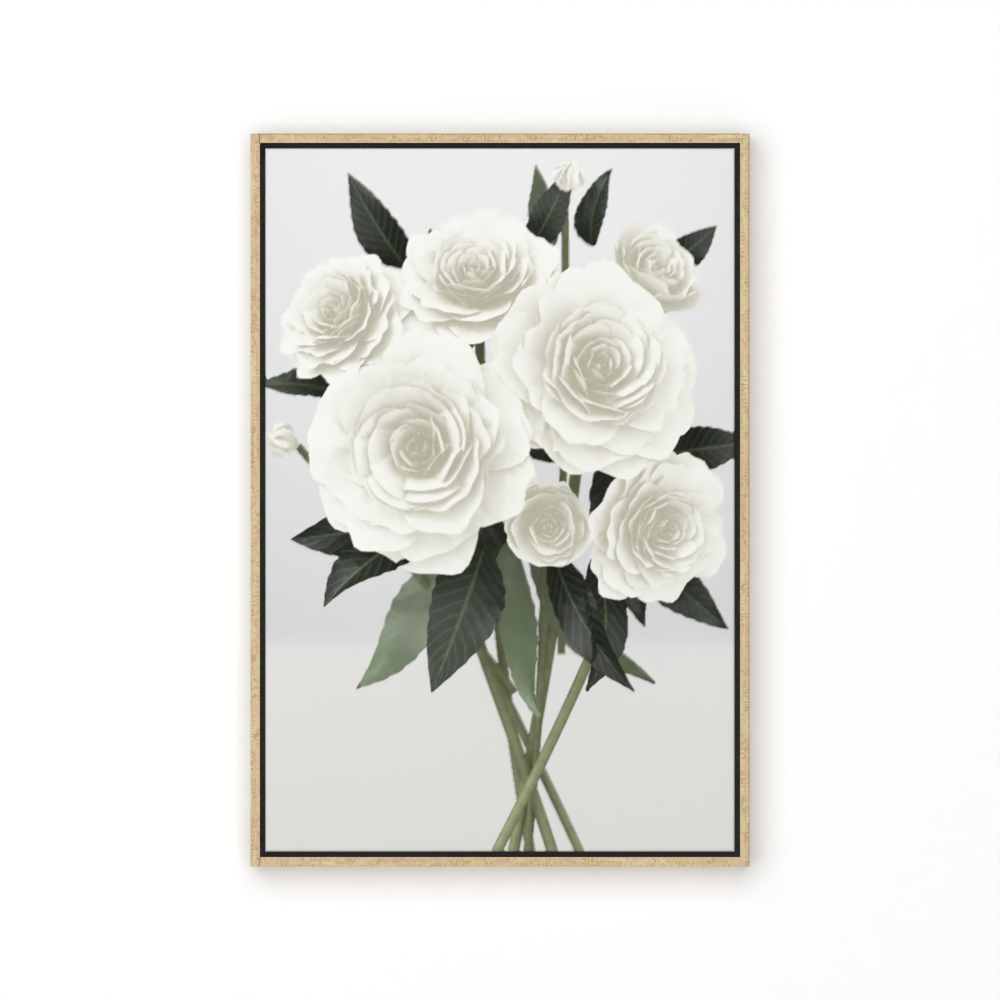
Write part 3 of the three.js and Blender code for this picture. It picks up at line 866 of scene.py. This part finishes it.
def backdrop(x, z):
    """A pale wall above a pale table, out of focus, with the soft shadow of the flowers."""
    down = np.clip((CANVAS_HALF_HEIGHT - z) / (CANVAS_HALF_HEIGHT - HORIZON), 0, 1)[:, None] ** 1.6
    wall = rgb("#ececec") * (1 - down) + rgb("#d9d9da") * down
    wall = wall * (1 - 0.05 * (x / CANVAS_SIDE) ** 2)[:, None]
    near = np.clip((HORIZON - z) / (CANVAS_HALF_HEIGHT + HORIZON), 0, 1)[:, None]
    table = rgb("#e2e1df") * (1 - near) + rgb("#dedcd8") * near
    above = (1 / (1 + np.exp(-(z - HORIZON) / 5)))[:, None]
    shade = 0.10 * np.exp(-(((x - 70) / 150) ** 2 + ((z + 10) / 190) ** 2))[:, None]
    return (wall * above + table * (1 - above)) * (1 - shade)


def mesh_of(forms):
    """All the forms as one mesh, with each vertex's place on its form, and a denser cloud for shadows."""
    points, triangles, kinds, shades, places, dense = ([] for _ in range(6))
    count = 0
    for form, kind, shade in forms:
        rows, columns = form.shape[:2]
        corner = (np.arange(rows - 1)[:, None] * columns + np.arange(columns - 1)).ravel() + count
        quads = np.stack([corner, corner + columns, corner + columns + 1, corner + 1], axis=1)
        triangles += [quads[:, [0, 1, 2]], quads[:, [0, 2, 3]]]
        kinds.append(np.full(2 * len(quads), kind))
        shades.append(np.full(2 * len(quads), shade))
        points.append(form.reshape(-1, 3))
        places.append(np.stack(grid(rows, columns), -1).reshape(-1, 2))
        count += rows * columns
        widest = max(np.linalg.norm(np.diff(form, axis=k), axis=-1).max() for k in (0, 1))
        part = np.linspace(0, 1, min(5, math.ceil(widest / SHADOW_CELL)), endpoint=False)
        down, right = part[:, None, None, None, None], part[None, :, None, None, None]
        left_edge = form[:-1, :-1] * (1 - down) + form[1:, :-1] * down
        right_edge = form[:-1, 1:] * (1 - down) + form[1:, 1:] * down
        dense.append((left_edge * (1 - right) + right_edge * right).reshape(-1, 3))
    return tuple(np.concatenate(part) for part in (points, triangles, kinds, shades, places, dense))


def vertex_normals(points, triangles):
    a, b, c = (points[triangles[:, k]] for k in range(3))
    flat = np.cross(b - a, c - a)
    normals = np.zeros_like(points)
    for k in range(3):
        np.add.at(normals, triangles[:, k], flat)
    return normals / np.maximum(np.linalg.norm(normals, axis=1), 1e-9)[:, None]


def look(points, triangles, x, z, cell):
    """For each lens sample, which triangle each point of the lattice sees, and where."""
    cast = BVHTree.FromPolygons(points.tolist(), triangles.tolist(), all_triangles=True).ray_cast
    hits, places = [], []
    for k in range(LENS_SAMPLES):
        angle, reach = k * 2.4, APERTURE * math.sqrt((k + 0.5) / LENS_SAMPLES)
        slope_x, slope_z = reach * math.cos(angle), reach * math.sin(angle)
        start_x = x + ((k % 2) - 0.5) * 0.5 * cell + slope_x * (LENS_START - FOCUS)
        start_z = z + ((k // 2) - 0.5) * 0.5 * cell + slope_z * (LENS_START - FOCUS)
        direction = (slope_x, 1.0, slope_z)
        hit = np.full(len(x), -1)
        place = np.zeros((len(x), 3))
        for i, (at_x, at_z) in enumerate(zip(start_x.tolist(), start_z.tolist())):
            found = cast((at_x, LENS_START, at_z), direction)
            if found[2] is not None:
                hit[i] = found[2]
                place[i] = found[0]
        hits.append(hit)
        places.append(place)
    return np.concatenate(hits), np.concatenate(places)


def weights_in(triangle_points, place):
    """Barycentric weights of each place in its triangle."""
    a, b, c = triangle_points
    v0, v1, v2 = b - a, c - a, place - a
    d00, d01, d11 = (v0 * v0).sum(1), (v0 * v1).sum(1), (v1 * v1).sum(1)
    d20, d21 = (v2 * v0).sum(1), (v2 * v1).sum(1)
    scale = d00 * d11 - d01 * d01
    scale = np.where(np.abs(scale) < 1e-12, 1, scale)
    second = np.clip((d11 * d20 - d01 * d21) / scale, 0, 1)
    third = np.clip((d00 * d21 - d01 * d20) / scale, 0, 1)
    return np.clip(1 - second - third, 0, 1), second, third


def sky_light(place, normal, kind, dense):
    """Light at each place from many directions of the sky. Each direction has its own shadow map."""
    place, normal, dense = (part.astype(np.float32).T.copy() for part in (place, normal, dense))
    light = np.zeros((3, place.shape[1]), np.float32)
    gleam = np.zeros(place.shape[1], np.float32)
    bounce = (PETAL_BOUNCE * BOUNCE_SHARE).astype(np.float32)[:, None]
    through = np.where(kind == PETAL, PETAL_THROUGH, LEAF_THROUGH).astype(np.float32)
    total = 0.0
    for k in range(SKY_DIRECTIONS):
        depth = 1 - 2 * (k + 0.5) / SKY_DIRECTIONS
        across = math.sqrt(1 - depth * depth)
        turn = k * GOLDEN_ANGLE
        d = np.array([across * math.cos(turn), -depth, across * math.sin(turn)])
        key = KEY_STRENGTH * math.exp(KEY_TIGHTNESS * (float(d @ KEY_LIGHT) - 1))
        fill = FILL_STRENGTH * math.exp(FILL_TIGHTNESS * (float(d @ FILL_LIGHT) - 1))
        sky = SKY_LEVEL + key + SKY_ABOVE * d[2] - SKY_IN_FRONT * d[1] + fill
        right = unit(np.cross(d, (0.1, 0.2, 1.0)))
        view = np.stack([right / SHADOW_CELL, np.cross(d, right) / SHADOW_CELL, d]).astype(np.float32)
        map_x, map_y, map_height = view @ dense
        low_x, low_y = map_x.min() - 3, map_y.min() - 3
        wide, tall = int(map_x.max() - low_x) + 4, int(map_y.max() - low_y) + 4
        cell = (map_x - low_x).astype(np.int32) * tall + (map_y - low_y).astype(np.int32)
        nearest = np.full(wide * tall, -1e9, np.float32)
        np.maximum.at(nearest, cell, map_height)
        towards = d.astype(np.float32) @ normal
        start = place + normal * np.where(towards >= 0, OFF_THE_FACE, -OFF_THE_FACE).astype(np.float32)
        at_x, at_y, at_height = view @ start
        at_x, at_y = at_x - low_x - 0.5, at_y - low_y - 0.5
        column, row = np.floor(at_x).astype(np.int32), np.floor(at_y).astype(np.int32)
        part_x, part_y = at_x - column, at_y - row
        corner = np.clip(column, 0, wide - 2) * tall + np.clip(row, 0, tall - 2)
        seen = np.zeros_like(gleam)
        for over, share_x in ((0, 1 - part_x), (tall, part_x)):
            for beyond, share_y in ((0, 1 - part_y), (1, part_y)):
                gap = nearest[corner + over + beyond] - at_height
                seen += share_x * share_y * np.clip(1 - (gap - SHADE_STARTS) / SHADE_RAMP, 0, 1)
        weight = np.where(towards > 0, towards, -through * towards)
        light += weight * seen * np.float32(sky) + weight * (1 - seen) * bounce
        total += max(0.0, -d[1])
        half_way = unit(d + np.array([0, -1.0, 0])).astype(np.float32)
        gleam += seen * np.float32(sky) * np.clip(half_way @ normal, 0, 1) ** GLEAM_POWER * (towards > 0)
    return light.T / total, gleam / total


def ink_of(kind, place_on_form, shade, beneath):
    """Colour of petals, leaves and stems before they are lit."""
    outward, across = place_on_form[:, 0], place_on_form[:, 1]
    shade = shade[:, None]
    petal_colour = rgb("#f8f7ef")
    heart = 0.45 * (np.clip(1 - outward / 0.55, 0, 1) ** 1.4)[:, None] + 0.22 * np.clip(shade - 0.35, 0, 1)
    petal_colour = petal_colour * (1 - heart) + heart * rgb("#cfd09a")
    ridge = np.sin(across * 38 + 3 * np.sin(outward * 9 + shade[:, 0] * 9)) * 0.6
    ridge = ridge + np.sin(across * 83 + 5 * np.sin(outward * 7)) * 0.4
    petal_colour = petal_colour * (1 + 0.022 * ridge * np.clip(outward * 1.5, 0, 1))[:, None]
    midrib = np.exp(-((across / 0.05) ** 2))
    ribs = np.clip(np.sin((outward - np.abs(across) * 0.2) * 70), 0, 1) ** 10
    tint = np.clip(0.5 * midrib + 0.25 * ribs, 0, 1)[:, None]
    upper = rgb("#1d231a") * (1 + 0.45 * shade)
    under = rgb("#5f6b55") * (1 + 0.15 * shade)
    leaf_colour = np.where(beneath[:, None], under, upper)
    leaf_colour = leaf_colour * (1 - tint) + tint * rgb("#5d6a4c")
    stem_colour = rgb("#656c4c") * (1 + 0.15 * shade) * (1 - 0.12 * np.sin(outward * 90) ** 8)[:, None]
    kind = kind[:, None]
    return np.where(kind == PETAL, petal_colour, np.where(kind == LEAF, leaf_colour, stem_colour))


def photograph(x, z, cell):
    """Linear colour of the picture at each point of the lattice."""
    points, triangles, kinds, shades, places, dense = mesh_of(arrangement())
    hit, where = look(points, triangles, x, z, cell)
    seen = np.flatnonzero(hit >= 0)
    corners = triangles[hit[seen]]
    weights = weights_in([points[corners[:, k]] for k in range(3)], where[seen])

    def mixed(values):
        return sum(values[corners[:, k]] * weights[k][:, None] for k in range(3))

    normal = mixed(vertex_normals(points, triangles))
    normal /= np.maximum(np.linalg.norm(normal, axis=1), 1e-9)[:, None]
    beneath = normal[:, 1] > 0
    normal = np.where(beneath[:, None], -normal, normal)
    kind = kinds[hit[seen]]
    light, gleam = sky_light(where[seen], normal, kind, dense)
    shine = np.where(kind == PETAL, 0.0, LEAF_SHINE)[:, None] * gleam[:, None]
    colour = ink_of(kind, mixed(places), shades[hit[seen]], beneath) * light + shine
    image = backdrop(np.tile(x, LENS_SAMPLES), np.tile(z, LENS_SAMPLES))
    colour = colour * FILM_SPEED
    image[seen] = colour / (1 + (colour / WHITEST) ** 4) ** (1 / 4)
    return np.clip(image.reshape(LENS_SAMPLES, -1, 3).mean(0), 0, 1)


def picture():
    """The picture on the lattice of the cloth's front, rows from the bottom up, filled in between samples
    when STEP is above one.
    """
    x = np.linspace(-FLAT_SIDE, FLAT_SIDE, COLUMNS + 1)[::STEP]
    z = np.linspace(-FLAT_HALF_HEIGHT, FLAT_HALF_HEIGHT, ROWS + 1)[::STEP]
    at_x, at_z = (part.ravel() for part in np.meshgrid(x, z))
    coarse = photograph(at_x, at_z, x[1] - x[0]).reshape(len(z), len(x), 3)
    return np.repeat(np.repeat(coarse, STEP, 0), STEP, 1)[: ROWS + 1, : COLUMNS + 1]


# ---- the canvas ----

MOST_CELLS = 70000  # keeps the cloth under 200,000 triangles
OUTSIDE_RUNS, INSIDE_RUNS = (6, 9, 2, 5), (3, 1, 1, 1)  # steps along the cloth's section
PRINT_WRAP = 48.0  # how far the print runs on round the edge, mirrored, before the cloth is bare
FOLD_LENGTH = 40.0  # away from a corner, the flap's fold flattens over this length
PRINT_LIGHT = 1.06  # how brightly the studio lights a white sheet on the wall, so inks are that much darker


def split_cells(image):
    """Square cells of the cloth, as column, row and size, smallest where the picture changes most."""
    tone = np.clip(image, 0, 1) ** (1 / 2.2)
    sizes = [s for s in (1, 2, 4, 8) if s >= STEP]
    errors = {}
    for size in sizes[1:]:
        part = np.arange(size + 1) / size
        low = tone[:-1:size, :-1:size], tone[:-1:size, size::size]
        high = tone[size::size, :-1:size], tone[size::size, size::size]
        worst = 0
        for j in range(size + 1):
            for i in range(size + 1):
                flat = (low[0] * (1 - part[i]) + low[1] * part[i]) * (1 - part[j])
                flat = flat + (high[0] * (1 - part[i]) + high[1] * part[i]) * part[j]
                real = tone[j : ROWS + 1 - size + j : size, i : COLUMNS + 1 - size + i : size]
                worst = np.maximum(worst, np.abs(flat - real).max(-1))
        worst[[0, 0, -1, -1], [0, -1, 0, -1]] = 1.0  # fine cells at the corners, where the cloth is folded
        errors[size] = worst

    def cells_for(allowed):
        cells, open_cells = [], np.ones((ROWS // sizes[-1], COLUMNS // sizes[-1]), bool)
        for size in reversed(sizes):
            fine = (errors[size] > allowed) & open_cells if size in errors else np.zeros_like(open_cells)
            row, column = np.nonzero(open_cells & ~fine)
            cells.append(np.stack([column * size, row * size, np.full(len(row), size)], 1))
            open_cells = np.repeat(np.repeat(fine, 2, 0), 2, 1)
        return np.concatenate(cells)

    low, high = 0.001, 0.2
    for _ in range(12):
        middle = (low + high) / 2
        if len(cells_for(middle)) > MOST_CELLS:
            low = middle
        else:
            high = middle
    return cells_for(high)


def profile(thickness, runs):
    """The cloth's section from the flat front's edge to the flap's edge: outward offset and depth. The runs
    are the steps round the turn, down the side, and along the flap's hidden and visible parts."""
    round_over = CLOTH_ROUND - thickness
    front = CANVAS_FRONT + thickness
    back = FLAP_BACK - thickness
    side = CLOTH_ROUND - thickness
    turn = CLOTH - thickness
    steps = [
        (round_over * math.sin(a), front + round_over * (1 - math.cos(a)))
        for a in np.linspace(0, math.pi / 2, runs[0] + 1)
    ]
    steps += [(side, y) for y in np.linspace(front + round_over, back - turn, runs[1] + 1)[1:]]
    if turn:
        steps += [(side - turn * (1 - math.cos(a)), back - turn + turn * math.sin(a)) for a in (0.5, 1.05)]
    hidden = np.linspace(side - turn, CLOTH_ROUND - FLAP_HIDDEN, runs[2] + 1)
    shown = np.linspace(CLOTH_ROUND - FLAP_HIDDEN, CLOTH_ROUND - FLAP, runs[3] + 1)[1:]
    steps += [(offset, back) for offset in (*hidden, *shown)]
    return steps


def make_canvas():
    image = picture()
    cells = split_cells(image)
    column, row, size = cells.T
    used = np.zeros((ROWS + 1, COLUMNS + 1), bool)
    for over, up in ((0, 0), (1, 0), (0, 1), (1, 1)):
        used[row + up * size, column + over * size] = True
    number = np.full(used.shape, -1)
    number[used] = np.arange(used.sum())
    rows, columns = np.nonzero(used)
    x = columns / COLUMNS * 2 * FLAT_SIDE - FLAT_SIDE
    z = rows / ROWS * 2 * FLAT_HALF_HEIGHT - FLAT_HALF_HEIGHT
    points = [np.stack([x, np.full(len(x), CANVAS_FRONT), z], 1)]
    colours = [image[rows, columns]]
    faces = []
    label = number.tolist()
    for c, r, s in cells.tolist():
        ring = [label[r][c + k] for k in range(s)]
        ring += [label[r + k][c + s] for k in range(s)]
        ring += [label[r + s][c + s - k] for k in range(s)]
        ring += [label[r + s - k][c] for k in range(s)]
        faces.append([k for k in ring if k >= 0])

    border = [(c, 0) for c in range(COLUMNS)] + [(COLUMNS, r) for r in range(ROWS)]
    border += [(COLUMNS - c, ROWS) for c in range(COLUMNS)] + [(0, ROWS - r) for r in range(ROWS)]
    border = [(c, r) for c, r in border if used[r, c]]
    edge = np.array([number[r, c] for c, r in border])
    edge_x, edge_z = x[edge], z[edge]
    count = len(edge)
    total = len(x)

    from_corner = FLAT_SIDE - np.abs(edge_x)
    level = (np.abs(edge_z) > FLAT_HALF_HEIGHT - 0.1) & (from_corner > 0.1)
    folded = np.where(level, FOLD * np.clip(1.3 - from_corner / FOLD_LENGTH, 0, 1), 0.0)

    def at(offset, y, lift=0.0):
        wide = (FLAT_SIDE + offset) / FLAT_SIDE
        tall = (FLAT_HALF_HEIGHT + offset) / FLAT_HALF_HEIGHT
        return np.stack([edge_x * wide, np.full(count, y) + lift, edge_z * tall], 1)

    def mirrored(distance):
        inwards_x = np.abs(edge_x / FLAT_SIDE) * COLUMNS / 2 * distance / FLAT_SIDE * np.sign(-edge_x)
        inwards_z = np.abs(edge_z / FLAT_HALF_HEIGHT) * ROWS / 2 * distance / FLAT_HALF_HEIGHT
        inwards_z = inwards_z * np.sign(-edge_z)
        c = np.clip(np.round(columns[edge] + inwards_x), 0, COLUMNS).astype(int)
        r = np.clip(np.round(rows[edge] + inwards_z), 0, ROWS).astype(int)
        return image[r, c]

    raw = np.tile(rgb("#e9e6dc"), (count, 1))
    rings = [edge]
    outer = profile(0.0, OUTSIDE_RUNS)
    walked = 0.0
    for before, (offset, y) in zip(outer, outer[1:]):
        walked += math.dist(before, (offset, y))
        points.append(at(offset, y, folded if offset < CLOTH_ROUND - FLAP_HIDDEN - 0.5 else 0.0))
        colours.append(mirrored(walked) if walked < PRINT_WRAP else raw)
        rings.append(np.arange(total, total + count))
        total += count
    inside_from = len(rings)
    for offset, y in reversed(profile(CLOTH, INSIDE_RUNS)):
        points.append(at(offset, y))
        colours.append(raw)
        rings.append(np.arange(total, total + count))
        total += count
    following = np.roll(np.arange(count), -1)
    inner_faces = []
    for k, (first, second) in enumerate(zip(rings, rings[1:])):
        quads = np.stack([first, second, second[following], first[following]], 1).tolist()
        (faces if k + 1 < inside_from else inner_faces).extend(quads)
    inner_faces.append(rings[-1].tolist()[::-1])
    outer_count = len(faces)

    mesh = bpy.data.meshes.new("canvas_print")
    places = np.concatenate(points)
    places[:, 2] += MIDDLE
    mesh.from_pydata((places * MM).tolist(), [], faces + inner_faces)
    mesh.validate()
    ink = mesh.attributes.new("print", "FLOAT_COLOR", "POINT")
    shown = np.ones((len(places), 4), np.float32)
    shown[:, :3] = np.concatenate(colours) / PRINT_LIGHT
    ink.data.foreach_set("color", shown.ravel())
    piece = bpy.data.objects.new("canvas_print", mesh)
    bpy.context.scene.collection.objects.link(piece)
    coat(piece, printed_canvas, raw_canvas)
    material_index = np.zeros(len(mesh.polygons), np.int32)
    material_index[outer_count:] = 1
    mesh.polygons.foreach_set("material_index", material_index)
    face_outwards(piece)
    smooth(piece, 50)
    return piece


canvas = make_canvas()
belongs(canvas, "canvas", "canvas")

# ---- staples ----

STAPLE_CROWN = 11.0
STAPLE_WIRE = 1.2
STAPLE_PITCH = 70.0
STAPLE_INSET = 44.0  # from the frame's outer edge, just inside the ledge's inner edge
LEVEL_ROW = 2 * (FRAME_SIDE - 75)  # length of the rows along the top and bottom
UPRIGHT_ROW = 2 * (CANVAS_HALF_HEIGHT - 55)


def make_staple():
    """Crown of a wire staple, pressed flat and a little into the cloth."""
    half, wire = STAPLE_CROWN / 2, STAPLE_WIRE / 2
    piece = block("staple", (-half, FLAP_BACK - 0.25, -wire), (half, FLAP_BACK + 0.45, wire))
    ease(piece, 0.28)
    coat(piece, staple_steel)
    return piece


def make_staples():
    random = np.random.default_rng(4)
    first = make_staple()
    sides = {
        "bottom": (0.0, FRAME_BOTTOM + STAPLE_INSET, 0.0, LEVEL_ROW),
        "top": (0.0, FRAME_TOP - STAPLE_INSET, 0.0, LEVEL_ROW),
        "left": (-FRAME_SIDE + STAPLE_INSET, MIDDLE, math.pi / 2, UPRIGHT_ROW),
        "right": (FRAME_SIDE - STAPLE_INSET, MIDDLE, math.pi / 2, UPRIGHT_ROW),
    }
    for side, (x, z, turn, length) in sides.items():
        count = round(length / STAPLE_PITCH) + 1
        made = []
        for k in range(count):
            along = -length / 2 + k * length / (count - 1) + random.uniform(-5, 5)
            off = random.uniform(-1.2, 1.2)
            move = (x + along, 0, z + off) if turn == 0 else (x + off, 0, z + along)
            lean = turn + math.radians(random.uniform(-9, 9))
            made.append(repeat(first, f"staple_{side}_{k}", lean, move))
        joined = join(made, f"canvas_staples_{side}")
        belongs(joined, "zinc_plated_steel")
    bpy.data.objects.remove(first)


make_staples()

# ---- screws, hanger, nails and feet ----

SCREW_HEAD, SCREW_SHANK, NAIL_SHANK = 3.75, 1.75, 0.9  # radii
SCREW_LENGTH = 22.0  # as far as the start of the point
POINT = 3.0
RECESS_HALF_LENGTH, RECESS_HALF_WIDTH, RECESS_DEPTH = 2.1, 0.42, 1.5


def place_of(node):
    """Middle, radius, front and back of a round node of the part, in millimetres."""
    low, high = (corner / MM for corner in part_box(node))
    return (low + high) / 2, (high.x - low.x) / 2, low.y, high.y


def narrow(shank, share, length=0.0):
    """Draws the front end of a shank out by a length and narrows it to a share of its width."""
    choose_faces(shank, lambda centre, normal: normal.y < -0.9)
    if length:
        bpy.ops.mesh.extrude_region_move(TRANSFORM_OT_translate={"value": (0, -length * MM, 0)})
    bpy.ops.transform.resize(value=(share, 1, share))
    done()


def make_screw():
    """A pan-head wood screw with a cross recess, its head on the ledge's back and its axis on the origin."""
    head = disc("screw_head", SCREW_HEAD, FRAME_BACK, 0.0, (0, 0), 32)
    round_rim(head, 0.0, 1.5, 5)
    half, wide = RECESS_HALF_LENGTH, RECESS_HALF_WIDTH
    for turn in (math.pi / 4, 3 * math.pi / 4):
        slot = block("recess", (-half, -RECESS_DEPTH, -wide), (half, 1.0, wide))
        slot.data.transform(Matrix.Rotation(turn, 4, "Y"))
        apply_modifier(head, "BOOLEAN", object=slot, operation="DIFFERENCE", solver="EXACT")
        bpy.data.objects.remove(slot)
    shank = disc("screw_shank", SCREW_SHANK, FRAME_BACK - SCREW_LENGTH, FRAME_BACK + 0.4, (0, 0), 20)
    narrow(shank, 0.15, POINT)
    screw = join([head, shank], "screw")
    smooth(screw, 35)
    coat(screw, zinc)
    return screw


def make_nail(node):
    """A nail with a domed head and a blunt end."""
    centre, radius, front, back = place_of(node)
    head = disc(node + "_domed", radius, back - 0.75, back, (centre.x, centre.z), 32)
    round_rim(head, back, 0.6, 5)
    shank = disc("nail_shank", NAIL_SHANK, front, back - 0.4, (centre.x, centre.z), 16)
    narrow(shank, 0.3)
    nail = join([head, shank], node + "_domed")
    smooth(nail, 35)
    coat(nail, zinc)
    belongs(nail, "zinc_plated_steel", node)


def make_foot(node):
    """A rubber foot with a well rounded rim, flat where it meets the wall."""
    centre, radius, front, back = place_of(node)
    foot = disc(node + "_moulded", radius, front, back, (centre.x, centre.z), 48)
    round_rim(foot, back, 1.9, 8)
    smooth(foot, 40)
    coat(foot, rubber)
    belongs(foot, "rubber", node)


screw = make_screw()
turn_of_screw = np.random.default_rng(8)
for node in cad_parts:
    if node.startswith("canvas_screw_"):
        centre = place_of(node)[0]
        driven = repeat(screw, node + "_driven", turn_of_screw.uniform(0, math.pi), (centre.x, 0, centre.z))
        belongs(driven, "zinc_plated_steel", node)
bpy.data.objects.remove(screw)

hanger = copy_of("sawtooth_hanger", "sawtooth_hanger_pressed")
ease(hanger, 0.18, sharper_than=25)
coat(hanger, zinc)
belongs(hanger, "zinc_plated_steel", "sawtooth_hanger")

for side in ("left", "right"):
    make_nail(f"hanger_nail_{side}")
    make_foot(f"wall_bumper_{side}")

# ---- wall, floor, light and camera ----

WALL_WHITE = 0.96  # share of light that the wall sends back
FLOOR_TOP = -1950
BACKDROP_RADIUS = 40  # metres


def hide_from_light(piece):
    for ray in ("diffuse", "glossy", "transmission", "shadow"):
        setattr(piece, "visible_" + ray, False)


def make_wall():
    """A white wall behind the picture. It catches the soft shadow, lets light pass to the picture's back, and
    lets the back show when the scene is seen from behind it."""
    piece = block("wall", (-6000, WALL_PLANE, FLOOR_TOP), (6000, WALL_PLANE + 1, 3500))
    choose_faces(piece, lambda centre, normal: normal.y > -0.5)
    bpy.ops.mesh.delete(type="FACE")
    done()
    made, node, _ = new_tree("matt_white_wall_paint")
    side = node("NewGeometry").outputs["Backfacing"]
    paint_coat = node("BsdfDiffuse", {"Color": (WALL_WHITE, WALL_WHITE, WALL_WHITE, 1)})
    mixed = node("MixShader", {0: side, 1: paint_coat, 2: node("BsdfTransparent")})
    node("OutputMaterial", {"Surface": mixed})
    coat(piece, made)
    hide_from_light(piece)


def make_floor():
    """A pale floor in two sheets: one that only sends light back up, and one that only the camera sees.
    Neither casts a shadow, and the second glows a little, as the softboxes don't reach all of it."""
    bounce = block("floor_bounce", (-8000, -9000, FLOOR_TOP - 10), (8000, 9000, FLOOR_TOP))
    made, node, _ = new_tree("pale_floor_paint")
    tone = node("BsdfPrincipled", {"Base Color": linear("#e6e4e0"), "Roughness": 0.8})
    node("OutputMaterial", {"Surface": tone})
    coat(bounce, made)
    bounce.visible_camera = False
    bounce.visible_shadow = False
    floor = block("floor", (-8000, -9000, FLOOR_TOP - 10), (8000, 9000, FLOOR_TOP + 1))
    made, node, _ = new_tree("pale_floor_seen")
    tone = node("BsdfPrincipled", {"Base Color": linear("#a8a7a4"), "Roughness": 0.8})
    glow = node("Emission", {"Color": linear("#f0eeea"), "Strength": 0.5})
    node("OutputMaterial", {"Surface": node("AddShader", {0: tone, 1: glow})})
    coat(floor, made)
    hide_from_light(floor)


def make_backdrop():
    """A pale studio all round, which only the camera sees, so it neither lights nor shades the picture."""
    deselect()
    bpy.ops.mesh.primitive_uv_sphere_add(segments=48, ring_count=24, radius=BACKDROP_RADIUS)
    piece = named("studio_backdrop")
    made, node, _ = new_tree("pale_backdrop")
    glow = node("Emission", {"Color": linear("#ececec"), "Strength": 1.0})
    node("OutputMaterial", {"Surface": glow})
    coat(piece, made)
    hide_from_light(piece)


def softbox(name, place, target, size, power):
    """A square lamp that the camera doesn't see. Places and size are in metres, power in watts."""
    deselect()
    bpy.ops.object.light_add(type="AREA", location=place)
    lamp = bpy.context.object
    lamp.name = name
    lamp.data.shape = "SQUARE"
    lamp.data.size = size
    lamp.data.energy = power
    lamp.rotation_euler = (Vector(target) - Vector(place)).to_track_quat("-Z", "Y").to_euler()
    lamp.visible_camera = False


make_wall()
make_floor()
make_backdrop()

softbox("key_softbox", (-2.60, -7.8, 2.6), (-2.60, 0, 2.6), size=12.0, power=1000.0)
softbox("side_softbox", (5.0, 0.0, -0.45), (0, 0.0, -0.45), size=1.2, power=42.0)
softbox("back_softbox", (0.8, 2.6, 0.3), (0.8, 0, 0.3), size=3.6, power=60.0)

world = bpy.data.worlds.new("studio_air")
bpy.context.scene.world = world
world.use_nodes = True
air = world.node_tree.nodes["Background"].inputs
air["Color"].default_value = (0.93, 0.95, 1.0, 1)
air["Strength"].default_value = 0.16

PIXEL = 1.299  # millimetres on the frame's front for one pixel of the photograph
LENS = 300.0
SENSOR = 36.0
lens_distance = 1000 * PIXEL * MM * LENS / SENSOR
eye = (0, FRAME_FRONT * MM - lens_distance, MIDDLE * MM)
deselect()
bpy.ops.object.camera_add(location=eye, rotation=(math.pi / 2, 0, 0))
camera = bpy.context.object
camera.data.lens = LENS
camera.data.sensor_width = SENSOR
camera.data.clip_end = 200
bpy.context.scene.camera = camera
bpy.context.scene.view_settings.view_transform = "Standard"
